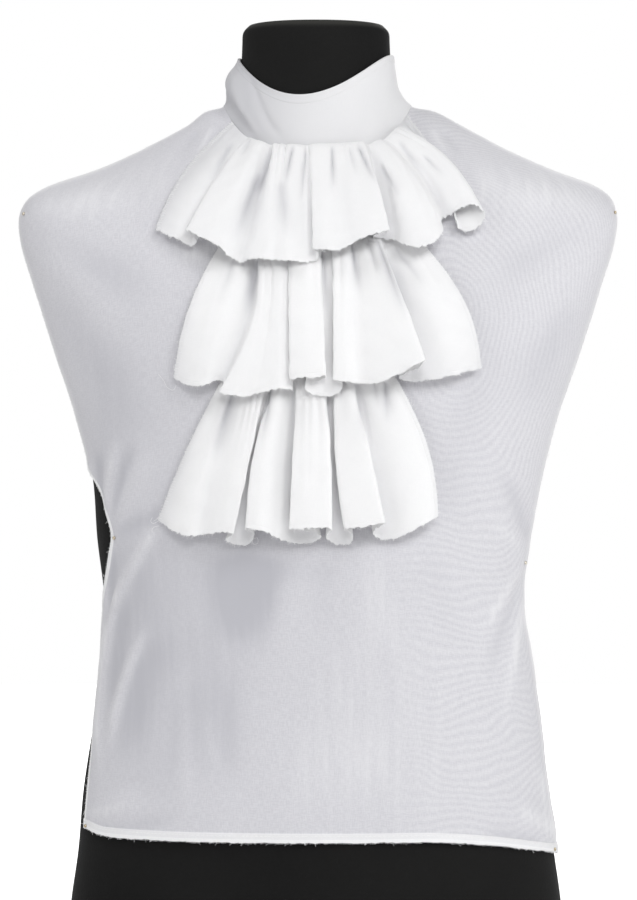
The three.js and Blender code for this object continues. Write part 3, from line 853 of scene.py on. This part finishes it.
def makeCollar():
    end = math.pi + collar["overlap"]
    rim = np.array(collar["rimRows"]) / collar["high"]
    stepAt = 1 - (collar["band"]["deep"] + np.array([-0.3, 0, 0.3, 0.6, 0.9])) / collar["high"]
    up = np.unique(np.concatenate([rim, 1 - rim, stepAt, np.linspace(0, 1, collar["rows"])]))[:, None]
    angle = np.linspace(-end, end, collar["columns"] + 1)[None]
    place = mix(seamRing, collarTopRing, up)
    over = (collar["wall"] + collar["seamGap"]) * smooth(math.pi - 5 * collar["overlap"],
                                                         math.pi - collar["overlap"], angle)
    bulge = collar["bulge"]
    bulged = bulge["out"] * hump(angle - bulge["at"], bulge["width"]) * np.sin(math.pi * up) ** 2
    girth, high = collar["girth"], collar["high"]
    run, rise = angle * girth, up * high
    dent = collar["crumple"]["out"] * ripple(run, rise, collar["crumple"]["length"], 21)
    for fromAngle, fromUp, toAngle, toUp, width, out in collar["dents"]:
        start, finish = (fromAngle * girth, fromUp * high), (toAngle * girth, toUp * high)
        down, off, _ = creaseFrame(run, rise, start, finish)
        ends = smooth(-0.1, 0.3, down) * (1 - smooth(0.65, 1.1, down))
        dent = dent + out * hump(off, width) * ends
    fromTop = (1 - up) * high
    band = collar["band"]
    folded = band["rise"] * (1 - smooth(band["deep"], band["deep"] + band["step"], fromTop))
    clear = mix(collar["baseClear"], collar["topClear"], up) + over + bulged
    clear = clear + dent * np.sin(math.pi * up) ** 0.5
    toRim = np.minimum(fromTop, rise)
    rounded = np.sqrt(np.clip(1 - (1 - np.minimum(toRim / collar["round"], 1)) ** 2, 0.4, 1))
    thick = (collar["wall"] - 0.5) * rounded + folded
    middle = offForm(place, angle, clear + collar["wall"] / 2 - 0.1 + folded / 2)
    flat = np.stack(np.broadcast_arrays(run, rise), axis=-1)
    toEdge = np.full(middle.shape[:2], collar["farFromEdge"])
    made = cloth("collar_cloth", middle, thick, whiteCotton, flat, toEdge)
    # Painted shade: the collar is greyed, most on its left
    grey = collar["grey"]
    sunk = grey["least"] + grey["more"] * hump(angle - grey["at"], grey["width"])
    keepValues(made, "sunk", np.broadcast_to(sunk, middle.shape[:2]))
    return dressed(made, "white_cotton", "collar")


collarCloth = makeCollar()
print("collar made")

# Each ruffle hangs in lines from its gathered edge to its free edge: the place along the gathered edge,
# the sideways bow, and the place, height and distance out from the bib of the lower end.
ruffleCut = {
    "thick": 0.5,
    "sewnClear": 0.7,
    "flat": 4,
    "share": 0.24,
    "spring": 1.7,
    "steps": 8,
    "levels": 40,
    "gathers": [
        # length along the seam, distance out, share of the depth that they reach down, unevenness
        [12.5, 2.3, 0.34, 1.1],
        [6.5, 0.35, 0.13, 1.6],
    ],
    # Painted shade at the bottom of the folds and in the darts
    "sunk": {"over": 26, "from": 1.5, "to": 11, "most": 0.45, "inDarts": 0.3},
    "crinkle": {"out": 0.3, "length": 19},
    "lip": {"out": 0.7, "deep": 0.035, "length": 15},
    "ragged": {"high": 0.75, "length": 4.5},
    "fullness": 1.5,
}
topRuffle = {
    "node": "ruffle_top",
    # An even painted shade over the whole ruffle; each ruffle has its own
    "grey": 0.12,
    "sewnAt": None,  # it is sewn into the collar's seam
    "darts": [
        # fromX, fromZ, toX, toZ, width, depth: sharp valleys that run down from the gathers
        [-51, 643, -59, 628, 3, 1.4],
        [-34, 633, -46, 597, 3.5, 3.1],
        [-43, 612, -61, 560, 7, 2.6],
        [-18, 634, -25, 602, 2.7, 2.6],
        [-27, 606, -23, 562, 6.5, 1.7],
        [-8, 632, -10.5, 592, 2.4, 2.0],
        [12.5, 634, 13.5, 600, 2.4, 2.5],
        [26, 634, 31, 612, 2.4, 1.3],
        [33, 636, 46, 604, 2.9, 2.9],
        [50, 620, 64, 594, 4.5, 1.8],
        [66, 640, 84, 612, 3, 1.5],
        [84, 628, 99, 612, 2.6, 1.5],
        [-66, 640, -82, 606, 3.5, 1.5],
    ],
    "lines": [
        [-65, -8, -123, 569.5, 5],
        [-62, -7, -114.5, 565, 8],
        [-58.5, -6, -104, 560.5, 10],
        [-55.5, -4, -96, 556, 8.5],
        [-53, -3, -91, 559.5, 9.5],
        [-51, -3, -95, 565, 13.5],
        [-48.5, -2, -99, 568, 19],
        [-45, -1, -89.5, 563, 22.5],
        [-41, 0, -76, 556, 24],
        [-38, 0, -69, 550.5, 21],
        [-36, 0, -63, 545.5, 14.5],
        [-34, 0, -57, 543, 11],
        [-31, 0, -48.5, 545.5, 17],
        [-27, 0, -39.5, 545, 21],
        [-22.5, 0, -31, 544.5, 19],
        [-18.5, 0, -23.5, 544, 21],
        [-14, 0, -15, 543.5, 19],
        [-10, 0, -6, 543, 16],
        [-7, 0, 1, 545, 14],
        [-5, 0, 1.5, 549.5, 17.5],
        [-3, 0, -2.5, 552.5, 21.5],
        [2, 0, 7, 552, 24.5],
        [8.5, 0, 18, 552, 23],
        [13.5, 0, 26, 556, 24],
        [19, 0, 33.5, 560, 27],
        [26.5, 0, 45, 564, 29.5],
        [33, 1, 56, 567, 30],
        [35.5, 2, 50, 565, 21.5],
        [37.5, 2, 44, 562.5, 13],
        [39.5, 2, 51.5, 561.5, 9],
        [41.5, 3, 60, 560.5, 12.5],
        [43.5, 3, 68, 556.5, 18],
        [45.5, 3, 79.5, 554.5, 21],
        [47.5, 3, 91.5, 559.5, 21],
        [49, 4, 96.5, 567, 17],
        [50.5, 5, 96, 576.5, 10.5],
        [52.5, 6, 100.5, 579, 7.5],
        [55.5, 6, 108.5, 583.5, 15],
        [58.5, 7, 117, 587, 21.5],
        [61, 8, 125, 586, 21.5],
        [63, 8, 129, 580, 16.5],
        [64.8, 7, 126, 572.5, 11],
        [66.6, 6, 118, 568, 7.5],
        [68.6, 5, 109.5, 570, 7],
        [70.6, 5, 107.5, 576.5, 11],
    ],
}
middleRuffle = {
    "node": "ruffle_middle",
    "grey": 0.02,
    "sewnAt": 561,
    "darts": [
        [-52, 560, -56, 534, 3.4, 1.8],
        [-45, 556, -52, 500, 4.5, 3.2],
        [-60, 556, -74, 512, 5, 1.3],
        [-19, 560, -20, 528, 2.2, 1.4],
        [5, 560, 8, 500, 3, 2.2],
        [27, 560, 33, 520, 3.2, 3.0],
        [40, 560, 47, 534, 3, 1.5],
        [47, 560, 68, 500, 5.5, 2.8],
        [60, 556, 84, 524, 4.5, 1.5],
    ],
    "lines": [
        [-71, -7, -108, 455, 5],
        [-66, -5, -99, 451, 8.5],
        [-61, -2, -91, 449, 12.5],
        [-57, 2, -83, 450.5, 13.5],
        [-53, 7, -76, 453, 10],
        [-50.3, 10, -71, 453, 6.5],
        [-48.6, 12, -69.5, 448.5, 10.5],
        [-46.9, 13, -72.5, 445, 16.5],
        [-43, 11, -65.5, 442.5, 18],
        [-38.5, 8, -56, 441, 17],
        [-34.5, 5, -46, 442.5, 16.5],
        [-30.5, 2, -36.5, 445.5, 18],
        [-26, 0, -27, 447, 19],
        [-22, 0, -17.5, 447, 14],
        [-20, 0, -20, 453.5, 20.5],
        [-9, 0, -8.5, 455, 23],
        [3, 0, 7.5, 456, 22],
        [5, 0, 2, 452.5, 15.5],
        [6.8, 0, -8.5, 447.5, 15.5],
        [8.2, 0, -3, 443, 13.5],
        [9.6, 0, 8.5, 441.5, 13],
        [11, 0, 18, 444, 13.5],
        [12.4, 0, 20, 450, 13.5],
        [13.8, 0, 13, 454, 20],
        [20, 0, 22, 452.5, 21.5],
        [28, 0, 33.5, 451, 17.5],
        [33, 0, 44, 450.5, 21],
        [38, 0, 56, 455, 25],
        [43, 0, 70.5, 462, 29],
        [46.5, 0, 82.5, 468.5, 30],
        [48.3, 0, 78, 463, 21.5],
        [50, 0, 69.5, 459.5, 13.5],
        [51.8, 1, 63, 455, 7],
        [54, 2, 71.5, 452.5, 5.5],
        [58.5, 4, 83, 453.5, 9],
        [65, 7, 97, 456, 11],
        [71.5, 9, 112, 459.5, 9],
        [78, 11, 126, 463.5, 7],
    ],
}
bottomRuffle = {
    "node": "ruffle_bottom",
    "grey": 0,
    "sewnAt": 456,
    "darts": [
        [-60, 455, -79, 392, 6.5, 3.2],
        [-33, 455, -42, 404, 3.4, 2.3],
        [-17, 455, -18, 410, 2.4, 1.5],
        [8, 455, 10, 412, 2.6, 2.1],
        [18, 455, 20, 436, 2.4, 1.4],
        [30, 455, 38, 404, 3.6, 2.2],
        [53, 455, 54, 420, 5, 2.8],
        [44, 455, 47, 432, 2.6, 1.3],
        [-46, 455, -52, 432, 3, 1.3],
    ],
    "lines": [
        [-70, -3, -118.5, 347, 4],
        [-65.5, -3, -108, 339.5, 9],
        [-61, -3, -96, 335.5, 12.5],
        [-56.5, -3, -86, 336.5, 10],
        [-51, -1, -76.5, 337.5, 15.5],
        [-45, 0, -68.5, 338.5, 19],
        [-38.5, 1, -61.5, 337, 19.5],
        [-36.6, 1, -67, 332.5, 11.5],
        [-34.8, -1, -58, 328.5, 5],
        [-33, -3, -49, 330, 7],
        [-31.3, -4.5, -46.5, 337.5, 13],
        [-29.6, -5, -52.5, 341.5, 20],
        [-27, -3.5, -45, 341, 22.5],
        [-24.4, -2, -37, 339, 20.5],
        [-22, -1, -28.5, 334, 14.5],
        [-20, 0, -16.5, 330, 7],
        [-18.4, 0, -4, 330.5, 5],
        [-17, 0, 4, 335, 9.5],
        [-15.7, 0, -3, 339, 16],
        [-14.3, 0, -20, 341.5, 21],
        [-9, 0, -12, 341.5, 23],
        [-2, 0, -1, 342.5, 23.5],
        [6, 1.5, 12, 341, 21.5],
        [7.5, 1.5, 7.5, 335.5, 13],
        [9, 1, 10.5, 331.5, 6.5],
        [10.4, 0, 18, 329, 4.5],
        [11.8, -1.5, 26, 330.5, 7],
        [13.3, -3, 28, 337, 13],
        [15, -3.5, 21, 341, 19.5],
        [19.5, -1.5, 32, 342.5, 23],
        [27.5, 0, 51.5, 346, 24],
        [29.3, 0, 45, 341, 15.5],
        [31, 0, 42.5, 336.5, 8],
        [33, 0, 49.5, 333, 4.5],
        [35.6, 0, 58, 333.5, 7],
        [41.5, 2, 68, 337.5, 11.5],
        [50, 5, 80, 344, 14],
        [60, 8, 91.5, 350.5, 11],
    ],
}


def onLines(lines, sewnAt, level):
    top, bow, low, height, out = lines.T[:, None]
    seamPlace = seamRing - ringShare(seamRing, angleAt(seamRing, top), 0.45)
    topHeight = onForm(seamPlace, angleAt(seamPlace, top))[..., 2] if sewnAt is None else sewnAt
    sideways = mix(top, low, level) + bow * np.sin(math.pi * level)
    place = placeAt(sideways, mix(topHeight, height, level))
    angle = angleAt(place, sideways)
    sprung = 1 - (1 - level) ** ruffleCut["spring"]
    gathered = ruffleCut["share"] * np.maximum(out - ruffleCut["flat"], 0)
    stand = ruffleCut["sewnClear"] + mix(gathered, out, sprung)
    ahead = np.array([0.0, -1.0, 0.0])
    heading = unit(mix(outOfForm(place, angle), ahead, level[..., None]))
    return bibFace(place, angle) + heading * stand[..., None]


def throughLines(points, steps):
    # A centripetal curve across the lines, at each level
    firstOut = 2 * points[:, :1] - points[:, 1:2]
    lastOut = 2 * points[:, -1:] - points[:, -2:-1]
    every = np.concatenate([firstOut, points, lastOut], axis=1)
    gap = np.maximum(np.sum(np.diff(every, axis=1) ** 2, axis=-1, keepdims=True) ** 0.25, 1e-4)
    a, b, c, d = every[:, :-3], every[:, 1:-2], every[:, 2:-1], every[:, 3:]
    gapIn, gapOn, gapOut = gap[:, :-2], gap[:, 1:-1], gap[:, 2:]
    slopeIn = ((b - a) / gapIn - (c - a) / (gapIn + gapOn) + (c - b) / gapOn) * gapOn
    slopeOut = ((c - b) / gapOn - (d - b) / (gapOn + gapOut) + (d - c) / gapOut) * gapOn
    share = (np.arange(steps) / steps)[:, None]
    b, c, slopeIn, slopeOut = (part[:, :, None] for part in (b, c, slopeIn, slopeOut))
    square = 3 * (c - b) - 2 * slopeIn - slopeOut
    cube = 2 * (b - c) + slopeIn + slopeOut
    curve = ((cube * share + square) * share + slopeIn) * share + b
    return np.concatenate([curve.reshape(len(points), -1, 3), points[:, -1:]], axis=1)


def darted(grid, darts):
    # How deep the sharp valleys are at these points
    x, z = grid[..., 0], grid[..., 2]
    total = np.zeros(x.shape)
    for fromX, fromZ, toX, toZ, width, depth in darts:
        down, aside, _ = creaseFrame(x, z, (fromX, fromZ), (toX, toZ))
        wide = width * (0.45 + 0.55 * np.clip(down, 0, 1))
        ends = smooth(-0.1, 0.12, down) * (1 - smooth(0.35, 1.1, down))
        total += depth * np.exp(-((np.abs(aside) / wide) ** 1.3)) * ends
    return total


def shadeBehindFolds(grid):
    # How far each point lies behind the folds on both sides of it, from 0 to 1, scaled into painted shade
    # for the bottom of the folds
    sunk = ruffleCut["sunk"]
    aside = grid[:, :, None, 0] - grid[:, None, :, 0]
    near = hump(aside, sunk["over"])
    ahead = -grid[..., 1][:, None, :]
    mean = np.sum(near * ahead, axis=2) / np.sum(near, axis=2)
    return sunk["most"] * smooth(sunk["from"], sunk["to"], mean + grid[..., 1])


def makeRuffle(shape, seed):
    lines = np.array(shape["lines"], float)
    ease = np.linspace(0, 1, ruffleCut["levels"])
    level = (ease * 0.75 + 0.25 * smooth(0, 1, ease))[::-1, None]
    grid = throughLines(onLines(lines, shape["sewnAt"], level), ruffleCut["steps"])
    out = normalsOf(grid)
    seamRun = lengthsAlong(grid[-1])[None]
    freeRun = lengthsAlong(grid[0])[None]
    crinkle, lip, ragged = (ruffleCut[key] for key in ("crinkle", "lip", "ragged"))
    lift = 0
    for k, (long, rise, down, mixed) in enumerate(ruffleCut["gathers"]):
        # Round ridges with sharp valleys between them, that fade at different depths
        phase = seamRun / long + mixed * ripple(seamRun, 5 * k, 3 * long, seed + k)
        reach = down * (1 + 0.45 * ripple(seamRun, 7, 2 * long, seed + 5 + k))
        fade = np.exp(-((level / reach) ** 1.5)) * smooth(-0.03, 0.06, level)
        strength = np.clip(0.6 + 0.75 * ripple(seamRun, 9, 2.4 * long, seed + 8 + k), 0.05, 1.4)
        lift = lift + rise * strength * fade * np.abs(np.sin(math.pi * phase)) ** 0.8
    deep = np.linalg.norm(grid[0] - grid[-1], axis=-1)[None] * level
    valleys = darted(grid, shape["darts"]) * smooth(-0.02, 0.05, level)
    lift = lift - valleys
    crinkled = crinkle["out"] * ripple(freeRun, deep, crinkle["length"], seed + 2)
    lift = lift + crinkled * smooth(0, 0.2, level)
    rolled = lip["out"] * ripple(freeRun, 0, lip["length"], seed + 3)
    lift = lift + rolled * smooth(1 - lip["deep"], 1, level)
    grid = grid + out * lift[..., None]
    uneven = ragged["high"] * ripple(freeRun, 3, ragged["length"], seed + 4) * smooth(0.95, 1, level)
    grid = grid + uneven[..., None] * np.array([0, 0, 1.0])
    flat = np.stack([np.broadcast_to(freeRun, grid.shape[:2]), -deep], axis=-1)
    toSide = np.minimum(freeRun, freeRun[:, -1:] - freeRun)
    toFree = (1 - level) * np.linalg.norm(grid[0] - grid[-1], axis=-1)[None]
    toEdge = np.minimum(np.broadcast_to(toSide, toFree.shape), toFree)
    made = cloth(shape["node"] + "_cloth", grid, ruffleCut["thick"], whiteCotton, flat, toEdge)
    # Painted shade: deeper in the folds and darts, and an even grey over each ruffle
    sunk = shadeBehindFolds(grid) + ruffleCut["sunk"]["inDarts"] * valleys + shape["grey"]
    keepValues(made, "sunk", np.clip(sunk, 0, 1))
    # The strip is flared: its gathered edge is shorter than its free one
    wide, high = float(freeRun[0, -1]) * mm, float(deep[0].mean()) * mm
    cut = (wide + ruffleCut["fullness"] * float(seamRun[0, -1]) * mm) / 2 * high
    return dressed(made, "white_cotton", shape["node"]), grid, (wide, high), cut


ruffleShapes = (topRuffle, middleRuffle, bottomRuffle)
ruffles = [makeRuffle(shape, 31 + 10 * k) for k, shape in enumerate(ruffleShapes)]
print("ruffles made, cut to", [[round(size, 3) for size in made[2]] for made in ruffles])

# Overcast stitches over the cut edges, running stitches along the hem, and frayed ends
sewing = {
    "spacing": 2.1,
    "deep": 3.1,
    "radius": 0.15,
    "slant": 1.1,
    "hemDash": 2.4,
    "hemSpacing": 3.5,
    "hemUp": 5,
    "fray": {"radius": 0.12, "spacing": 1.7, "least": 0.8, "most": 2.8},
    "fuzz": {"radius": 0.15, "spacing": 1.7, "least": 0.35, "most": 1.2},
    # How far cut ends sway, stand off the edge and curl, and the power by which short ones are commoner
    "ends": {"sway": 0.5, "stand": (0.05, 0.22), "curl": 0.55, "lift": (-0.1, 0.35), "short": 2.2},
    "endKnots": [-0.25, 0.15, 0.5, 0.8, 1.0],
}


def overcast(name, edges, seed):
    # Each stitch goes in from the face, round the edge and back under it
    dice = np.random.default_rng(seed)
    runs, asides = [], []
    for edge, half in edges:
        at, inward, out = spread(edge, sewing["spacing"], dice)
        along = unit(np.cross(out, inward))
        lean = along * sewing["slant"]
        off = half + sewing["radius"]
        deep = sewing["deep"] * dice.uniform(0.85, 1.1, len(at))[:, None]
        runs.append(np.stack([
            at + inward * deep + out * (half - 0.1) + lean,
            at + inward * deep * 0.93 + out * off + lean * 0.93,
            at + inward * deep * 0.4 + out * (off + 0.08) + lean * 0.4,
            at - inward * 0.05 + out * off * 0.8,
            at - inward * 0.28 - lean * 0.1,
            at - inward * 0.05 - out * off * 0.8 - lean * 0.2,
            at + inward * deep * 0.6 - out * off - lean * 0.5,
        ], axis=1))
        asides.append(along)
    made = tubes(name, np.concatenate(runs), np.concatenate(asides), sewing["radius"], cottonThread)
    return dressed(made, "white_cotton")


def frayed(name, edges, seed, fray):
    # Short cut ends of the weave's threads that stand off the edge and curl
    dice, ends = np.random.default_rng(seed), sewing["ends"]
    runs, asides = [], []
    for edge, amount in edges:
        at, inward, out = spread(edge, fray["spacing"] / amount, dice, 0.5)
        along = unit(np.cross(out, inward))
        count = (len(at), 1)
        long = mix(fray["least"], fray["most"], dice.uniform(0, 1, count) ** ends["short"])
        sway = along * dice.normal(0, ends["sway"], count) + out * dice.normal(*ends["stand"], count)
        curl = along * dice.normal(0, ends["curl"], count) + out * dice.uniform(*ends["lift"], count)
        runs.append(np.stack([
            at + (-inward + sway * max(s, 0)) * long * s + curl * long * max(s, 0) ** 2
            for s in sewing["endKnots"]
        ], axis=1))
        asides.append(unit(along + out * 0.3))
    made = tubes(name, np.concatenate(runs), np.concatenate(asides), fray["radius"], cottonThread, 3)
    return dressed(made, "white_cotton")


def stitchedHem():
    dice = np.random.default_rng(7)
    row = int(np.searchsorted(bib["hemRows"], sewing["hemUp"]))
    out = normalsOf(bibGrid)[row]
    level = bibGrid[row] + out * (bibThick[row] / 2)[:, None]
    up = unit(bibGrid[row + 1] - bibGrid[row])
    at, inward, out = spread((level, up, out), sewing["hemSpacing"], dice, 0.06)
    along = unit(np.cross(out, inward))
    half = sewing["hemDash"] / 2
    runs = np.stack([
        at - along * half - out * 0.15,
        at - along * half * 0.8 + out * 0.08,
        at + out * 0.13,
        at + along * half * 0.8 + out * 0.08,
        at + along * half - out * 0.15,
    ], axis=1)
    made = tubes("hem_stitches", runs, inward, sewing["radius"] * 1.5, cottonThread)
    return dressed(made, "white_cotton")


bibSides = [edgeOf(bibGrid, "left", 1), edgeOf(bibGrid, "right", 1)]
bibLow = edgeOf(bibGrid, "low", 3)
bibStitches = overcast("bib_overcast", [(edge, bib["thick"] / 2) for edge in bibSides], 51)
hemStitches = stitchedHem()
sparse = [(edge, 0.35) for edge in bibSides] + [(bibLow, 0.22)]
dense = [(edge, 1.5) for edge in bibSides] + [(bibLow, 2.2)]
bibFray = frayed("bib_frayed_threads", sparse, 52, sewing["fray"])
bibFuzz = frayed("bib_fuzz", dense, 53, sewing["fuzz"])
ruffleStitches, ruffleFray, ruffleFuzz = [], [], []
for k, (piece, grid, _, _) in enumerate(ruffles):
    rims = [edgeOf(grid, "low", 1), edgeOf(grid, "left", 3), edgeOf(grid, "right", 3)]
    name = piece.name.replace("_cloth", "")
    sides = [(rim, ruffleCut["thick"] / 2) for rim in rims[1:]]
    ruffleStitches.append(overcast(name + "_overcast", sides, 61 + k))
    sparse = list(zip(rims, (0.5, 0.5, 0.4)))
    ruffleFray.append(frayed(name + "_frayed_threads", sparse, 71 + k, sewing["fray"]))
    ruffleFuzz.append(frayed(name + "_fuzz", [(rim, 1.7) for rim in rims], 81 + k, sewing["fuzz"]))

# Loose threads: points seen from the front, and how far they lie off the bib
looseThreads = {
    "radius": 0.15,
    "steps": 26,
    "runs": [
        [[-120, 459, 1.6], [-116, 454, 1.4], [-113, 448.5, 1.3], [-108.5, 446.5, 1.5], [-106, 450, 2.2]],
        [[-116, 347, 5.5], [-119.5, 345, 6], [-121.5, 346.5, 6.3], [-120.5, 349.5, 6.2]],
        [[-116, 343, 5], [-119.5, 342, 5.2], [-121, 339.5, 5.2], [-120.5, 338, 5]],
        [[-47, 334, 11], [-45.5, 330.5, 12], [-42.5, 331.5, 12.5], [-43, 335.5, 12.5], [-46.5, 334, 12]],
        [[-183, 104, 1.5], [-187, 101.5, 2.5], [-190, 103, 3.2], [-191, 99, 3.4]],
        [[-12, 444, 24.5], [-8, 441.5, 25], [-4, 443, 25], [-2, 440, 24.5]],
    ],
}


def makeLooseThreads():
    runs = []
    for points in looseThreads["runs"]:
        x, z, out = np.array(points, float).T
        place = placeAt(x, z)
        angle = angleAt(place, x)
        knots = bibFace(place, angle) + outOfForm(place, angle) * out[:, None]
        runs.append(between(knots, np.linspace(0, len(knots) - 1, looseThreads["steps"])))
    across = np.tile([0.1, 1.0, 0.1], (len(runs), 1))
    made = tubes("loose_threads", np.array(runs), across, looseThreads["radius"], cottonThread)
    return dressed(made, "white_cotton")


makeLooseThreads()
print("stitches and frayed threads made")

# Pins hold the bib to the form at its shoulders, waist and lower corners, at these places seen
# from the front
pins = {
    "head": 1.4,
    "squash": 0.75,
    "sunk": 0.25,
    "sides": 16,
    "rings": 9,
    "fromEdge": 3,
    "at": [
        [-230, 587],
        [236, 589],
        [-163, 332],
        [164, 309],
        [-180, 103],
        [187, 84],
    ],
}


def makePins():
    sides, squash, fromEdge = pins["sides"], pins["squash"], pins["fromEdge"]
    inside = np.s_[fromEdge:-fromEdge, fromEdge:-fromEdge]
    out, thick, grid = normalsOf(bibGrid)[inside], bibThick[inside], bibGrid[inside]
    points, faces = [], []
    turn = np.arange(sides) / sides * fullTurn
    rise = np.linspace(0, math.pi, pins["rings"])[1:-1]
    for x, z in pins["at"]:
        far = np.hypot(grid[..., 0] - x, grid[..., 2] - z) + np.maximum(grid[..., 1], 0)
        at = np.unravel_index(np.argmin(far), far.shape)
        up = out[at]
        aside = unit(np.cross(up, [0.3, 0.1, 1.0]))
        other = np.cross(up, aside)
        foot = grid[at] + up * (thick[at] / 2 - pins["sunk"])
        start = len(points)
        for lean in rise:
            ring = (np.cos(turn)[:, None] * aside + np.sin(turn)[:, None] * other) * math.sin(lean)
            points += list(foot + (ring + up * squash * (1 - math.cos(lean))) * pins["head"])
        points += [foot, foot + up * 2 * squash * pins["head"]]
        for k in range(sides):
            after = (k + 1) % sides
            for row in range(len(rise) - 1):
                low = start + row * sides
                faces.append([low + k, low + after, low + sides + after, low + sides + k])
            bottom, top = len(points) - 2, len(points) - 1
            last = start + (len(rise) - 1) * sides
            faces.append([bottom, start + after, start + k])
            faces.append([top, last + k, last + after])
    return dressed(meshObject("pins", np.array(points), faces, pinBrass), "white_cotton")


makePins()
print("pins made")

# The picture: a level camera ahead of the part, soft light mostly from the right and above
picture = {
    "at": (0.002, -2.8, 0.40),
    "lens": 140,
    "sensor": 36,
    "dome": 0.16,
    "floor": 3.2,
    "floorGlow": {"near": 0.62, "far": 1.1, "from": 0.35, "to": 1.1, "given": 0.12},
    "lights": [
        # name, place, aim, width, height, watts
        ("frontLight", (0.3, -3.0, 1.9), (0.0, 0.0, 0.42), 1.0, 1.0, 30),
        ("keyLight", (1.4, -1.9, 2.1), (0.0, 0.0, 0.42), 1.0, 1.0, 24),
        ("sideLight", (2.3, -0.6, 0.9), (0.0, 0.0, 0.42), 1.2, 1.6, 13),
        ("fillLight", (-1.9, -1.9, 0.9), (0.0, 0.0, 0.42), 1.4, 1.4, 8),
        ("leftTopLight", (-1.3, -0.3, 2.0), (0.0, 0.0, 0.5), 1.0, 1.0, 13),
        ("backLight", (0.3, 2.2, 1.6), (0.0, 0.0, 0.42), 1.4, 1.2, 30),
    ],
}


def makePicture():
    scene = bpy.context.scene
    camera = bpy.data.cameras.new("camera")
    camera.lens, camera.sensor_width = picture["lens"], picture["sensor"]
    stand = bpy.data.objects.new("camera", camera)
    stand.location = picture["at"]
    stand.rotation_euler = (math.pi / 2, 0, 0)
    scene.collection.objects.link(stand)
    scene.camera = stand
    for name, at, aim, width, height, watts in picture["lights"]:
        lamp = bpy.data.lights.new(name, "AREA")
        lamp.shape, lamp.size, lamp.size_y, lamp.energy = "RECTANGLE", width, height, watts
        holder = bpy.data.objects.new(name, lamp)
        holder.location = at
        way = Vector(aim) - Vector(at)
        holder.rotation_euler = way.to_track_quat("-Z", "Y").to_euler()
        scene.collection.objects.link(holder)
    world = bpy.data.worlds.new("studio")
    world.use_nodes = True
    scene.world = world
    w = Wiring(world.node_tree)
    dome = world.node_tree.nodes["Background"]
    seen = w.node("LightPath").outputs["Is Camera Ray"]
    dome.inputs["Color"].default_value = (1, 1, 1, 1)
    w.join(w.math("MULTIPLY_ADD", seen, 1.0 - picture["dome"], picture["dome"]), dome.inputs["Strength"])
    scene.view_settings.view_transform = "Standard"
    scene.view_settings.look = "None"


def makeFloor():
    made, w, shader = newMaterial("paleFloor", Roughness=0.9)
    shader.inputs["Base Color"].default_value = (0.9, 0.9, 0.9, 1)
    shader.inputs["Emission Color"].default_value = (1, 1, 1, 1)
    glow = picture["floorGlow"]
    seen = w.node("LightPath").outputs["Is Camera Ray"]
    # The floor reads as plain white away from the part, and keeps a soft shadow next to it
    away = w.node("VectorMath", operation="LENGTH")
    w.join(w.node("TexCoord").outputs["Object"], away.inputs[0])
    shown = w.mapped(away.outputs["Value"], glow["from"], glow["to"], glow["near"], glow["far"])
    strength = w.math("MULTIPLY_ADD", seen, w.math("SUBTRACT", shown, glow["given"]), glow["given"])
    w.join(strength, shader.inputs["Emission Strength"])
    bpy.ops.mesh.primitive_circle_add(vertices=96, radius=picture["floor"], fill_type="NGON")
    floor = bpy.context.object
    floor.name = "floor"
    floor.location.z = -0.0005
    floor.data.materials.append(made)


makePicture()
makeFloor()
print("picture made")
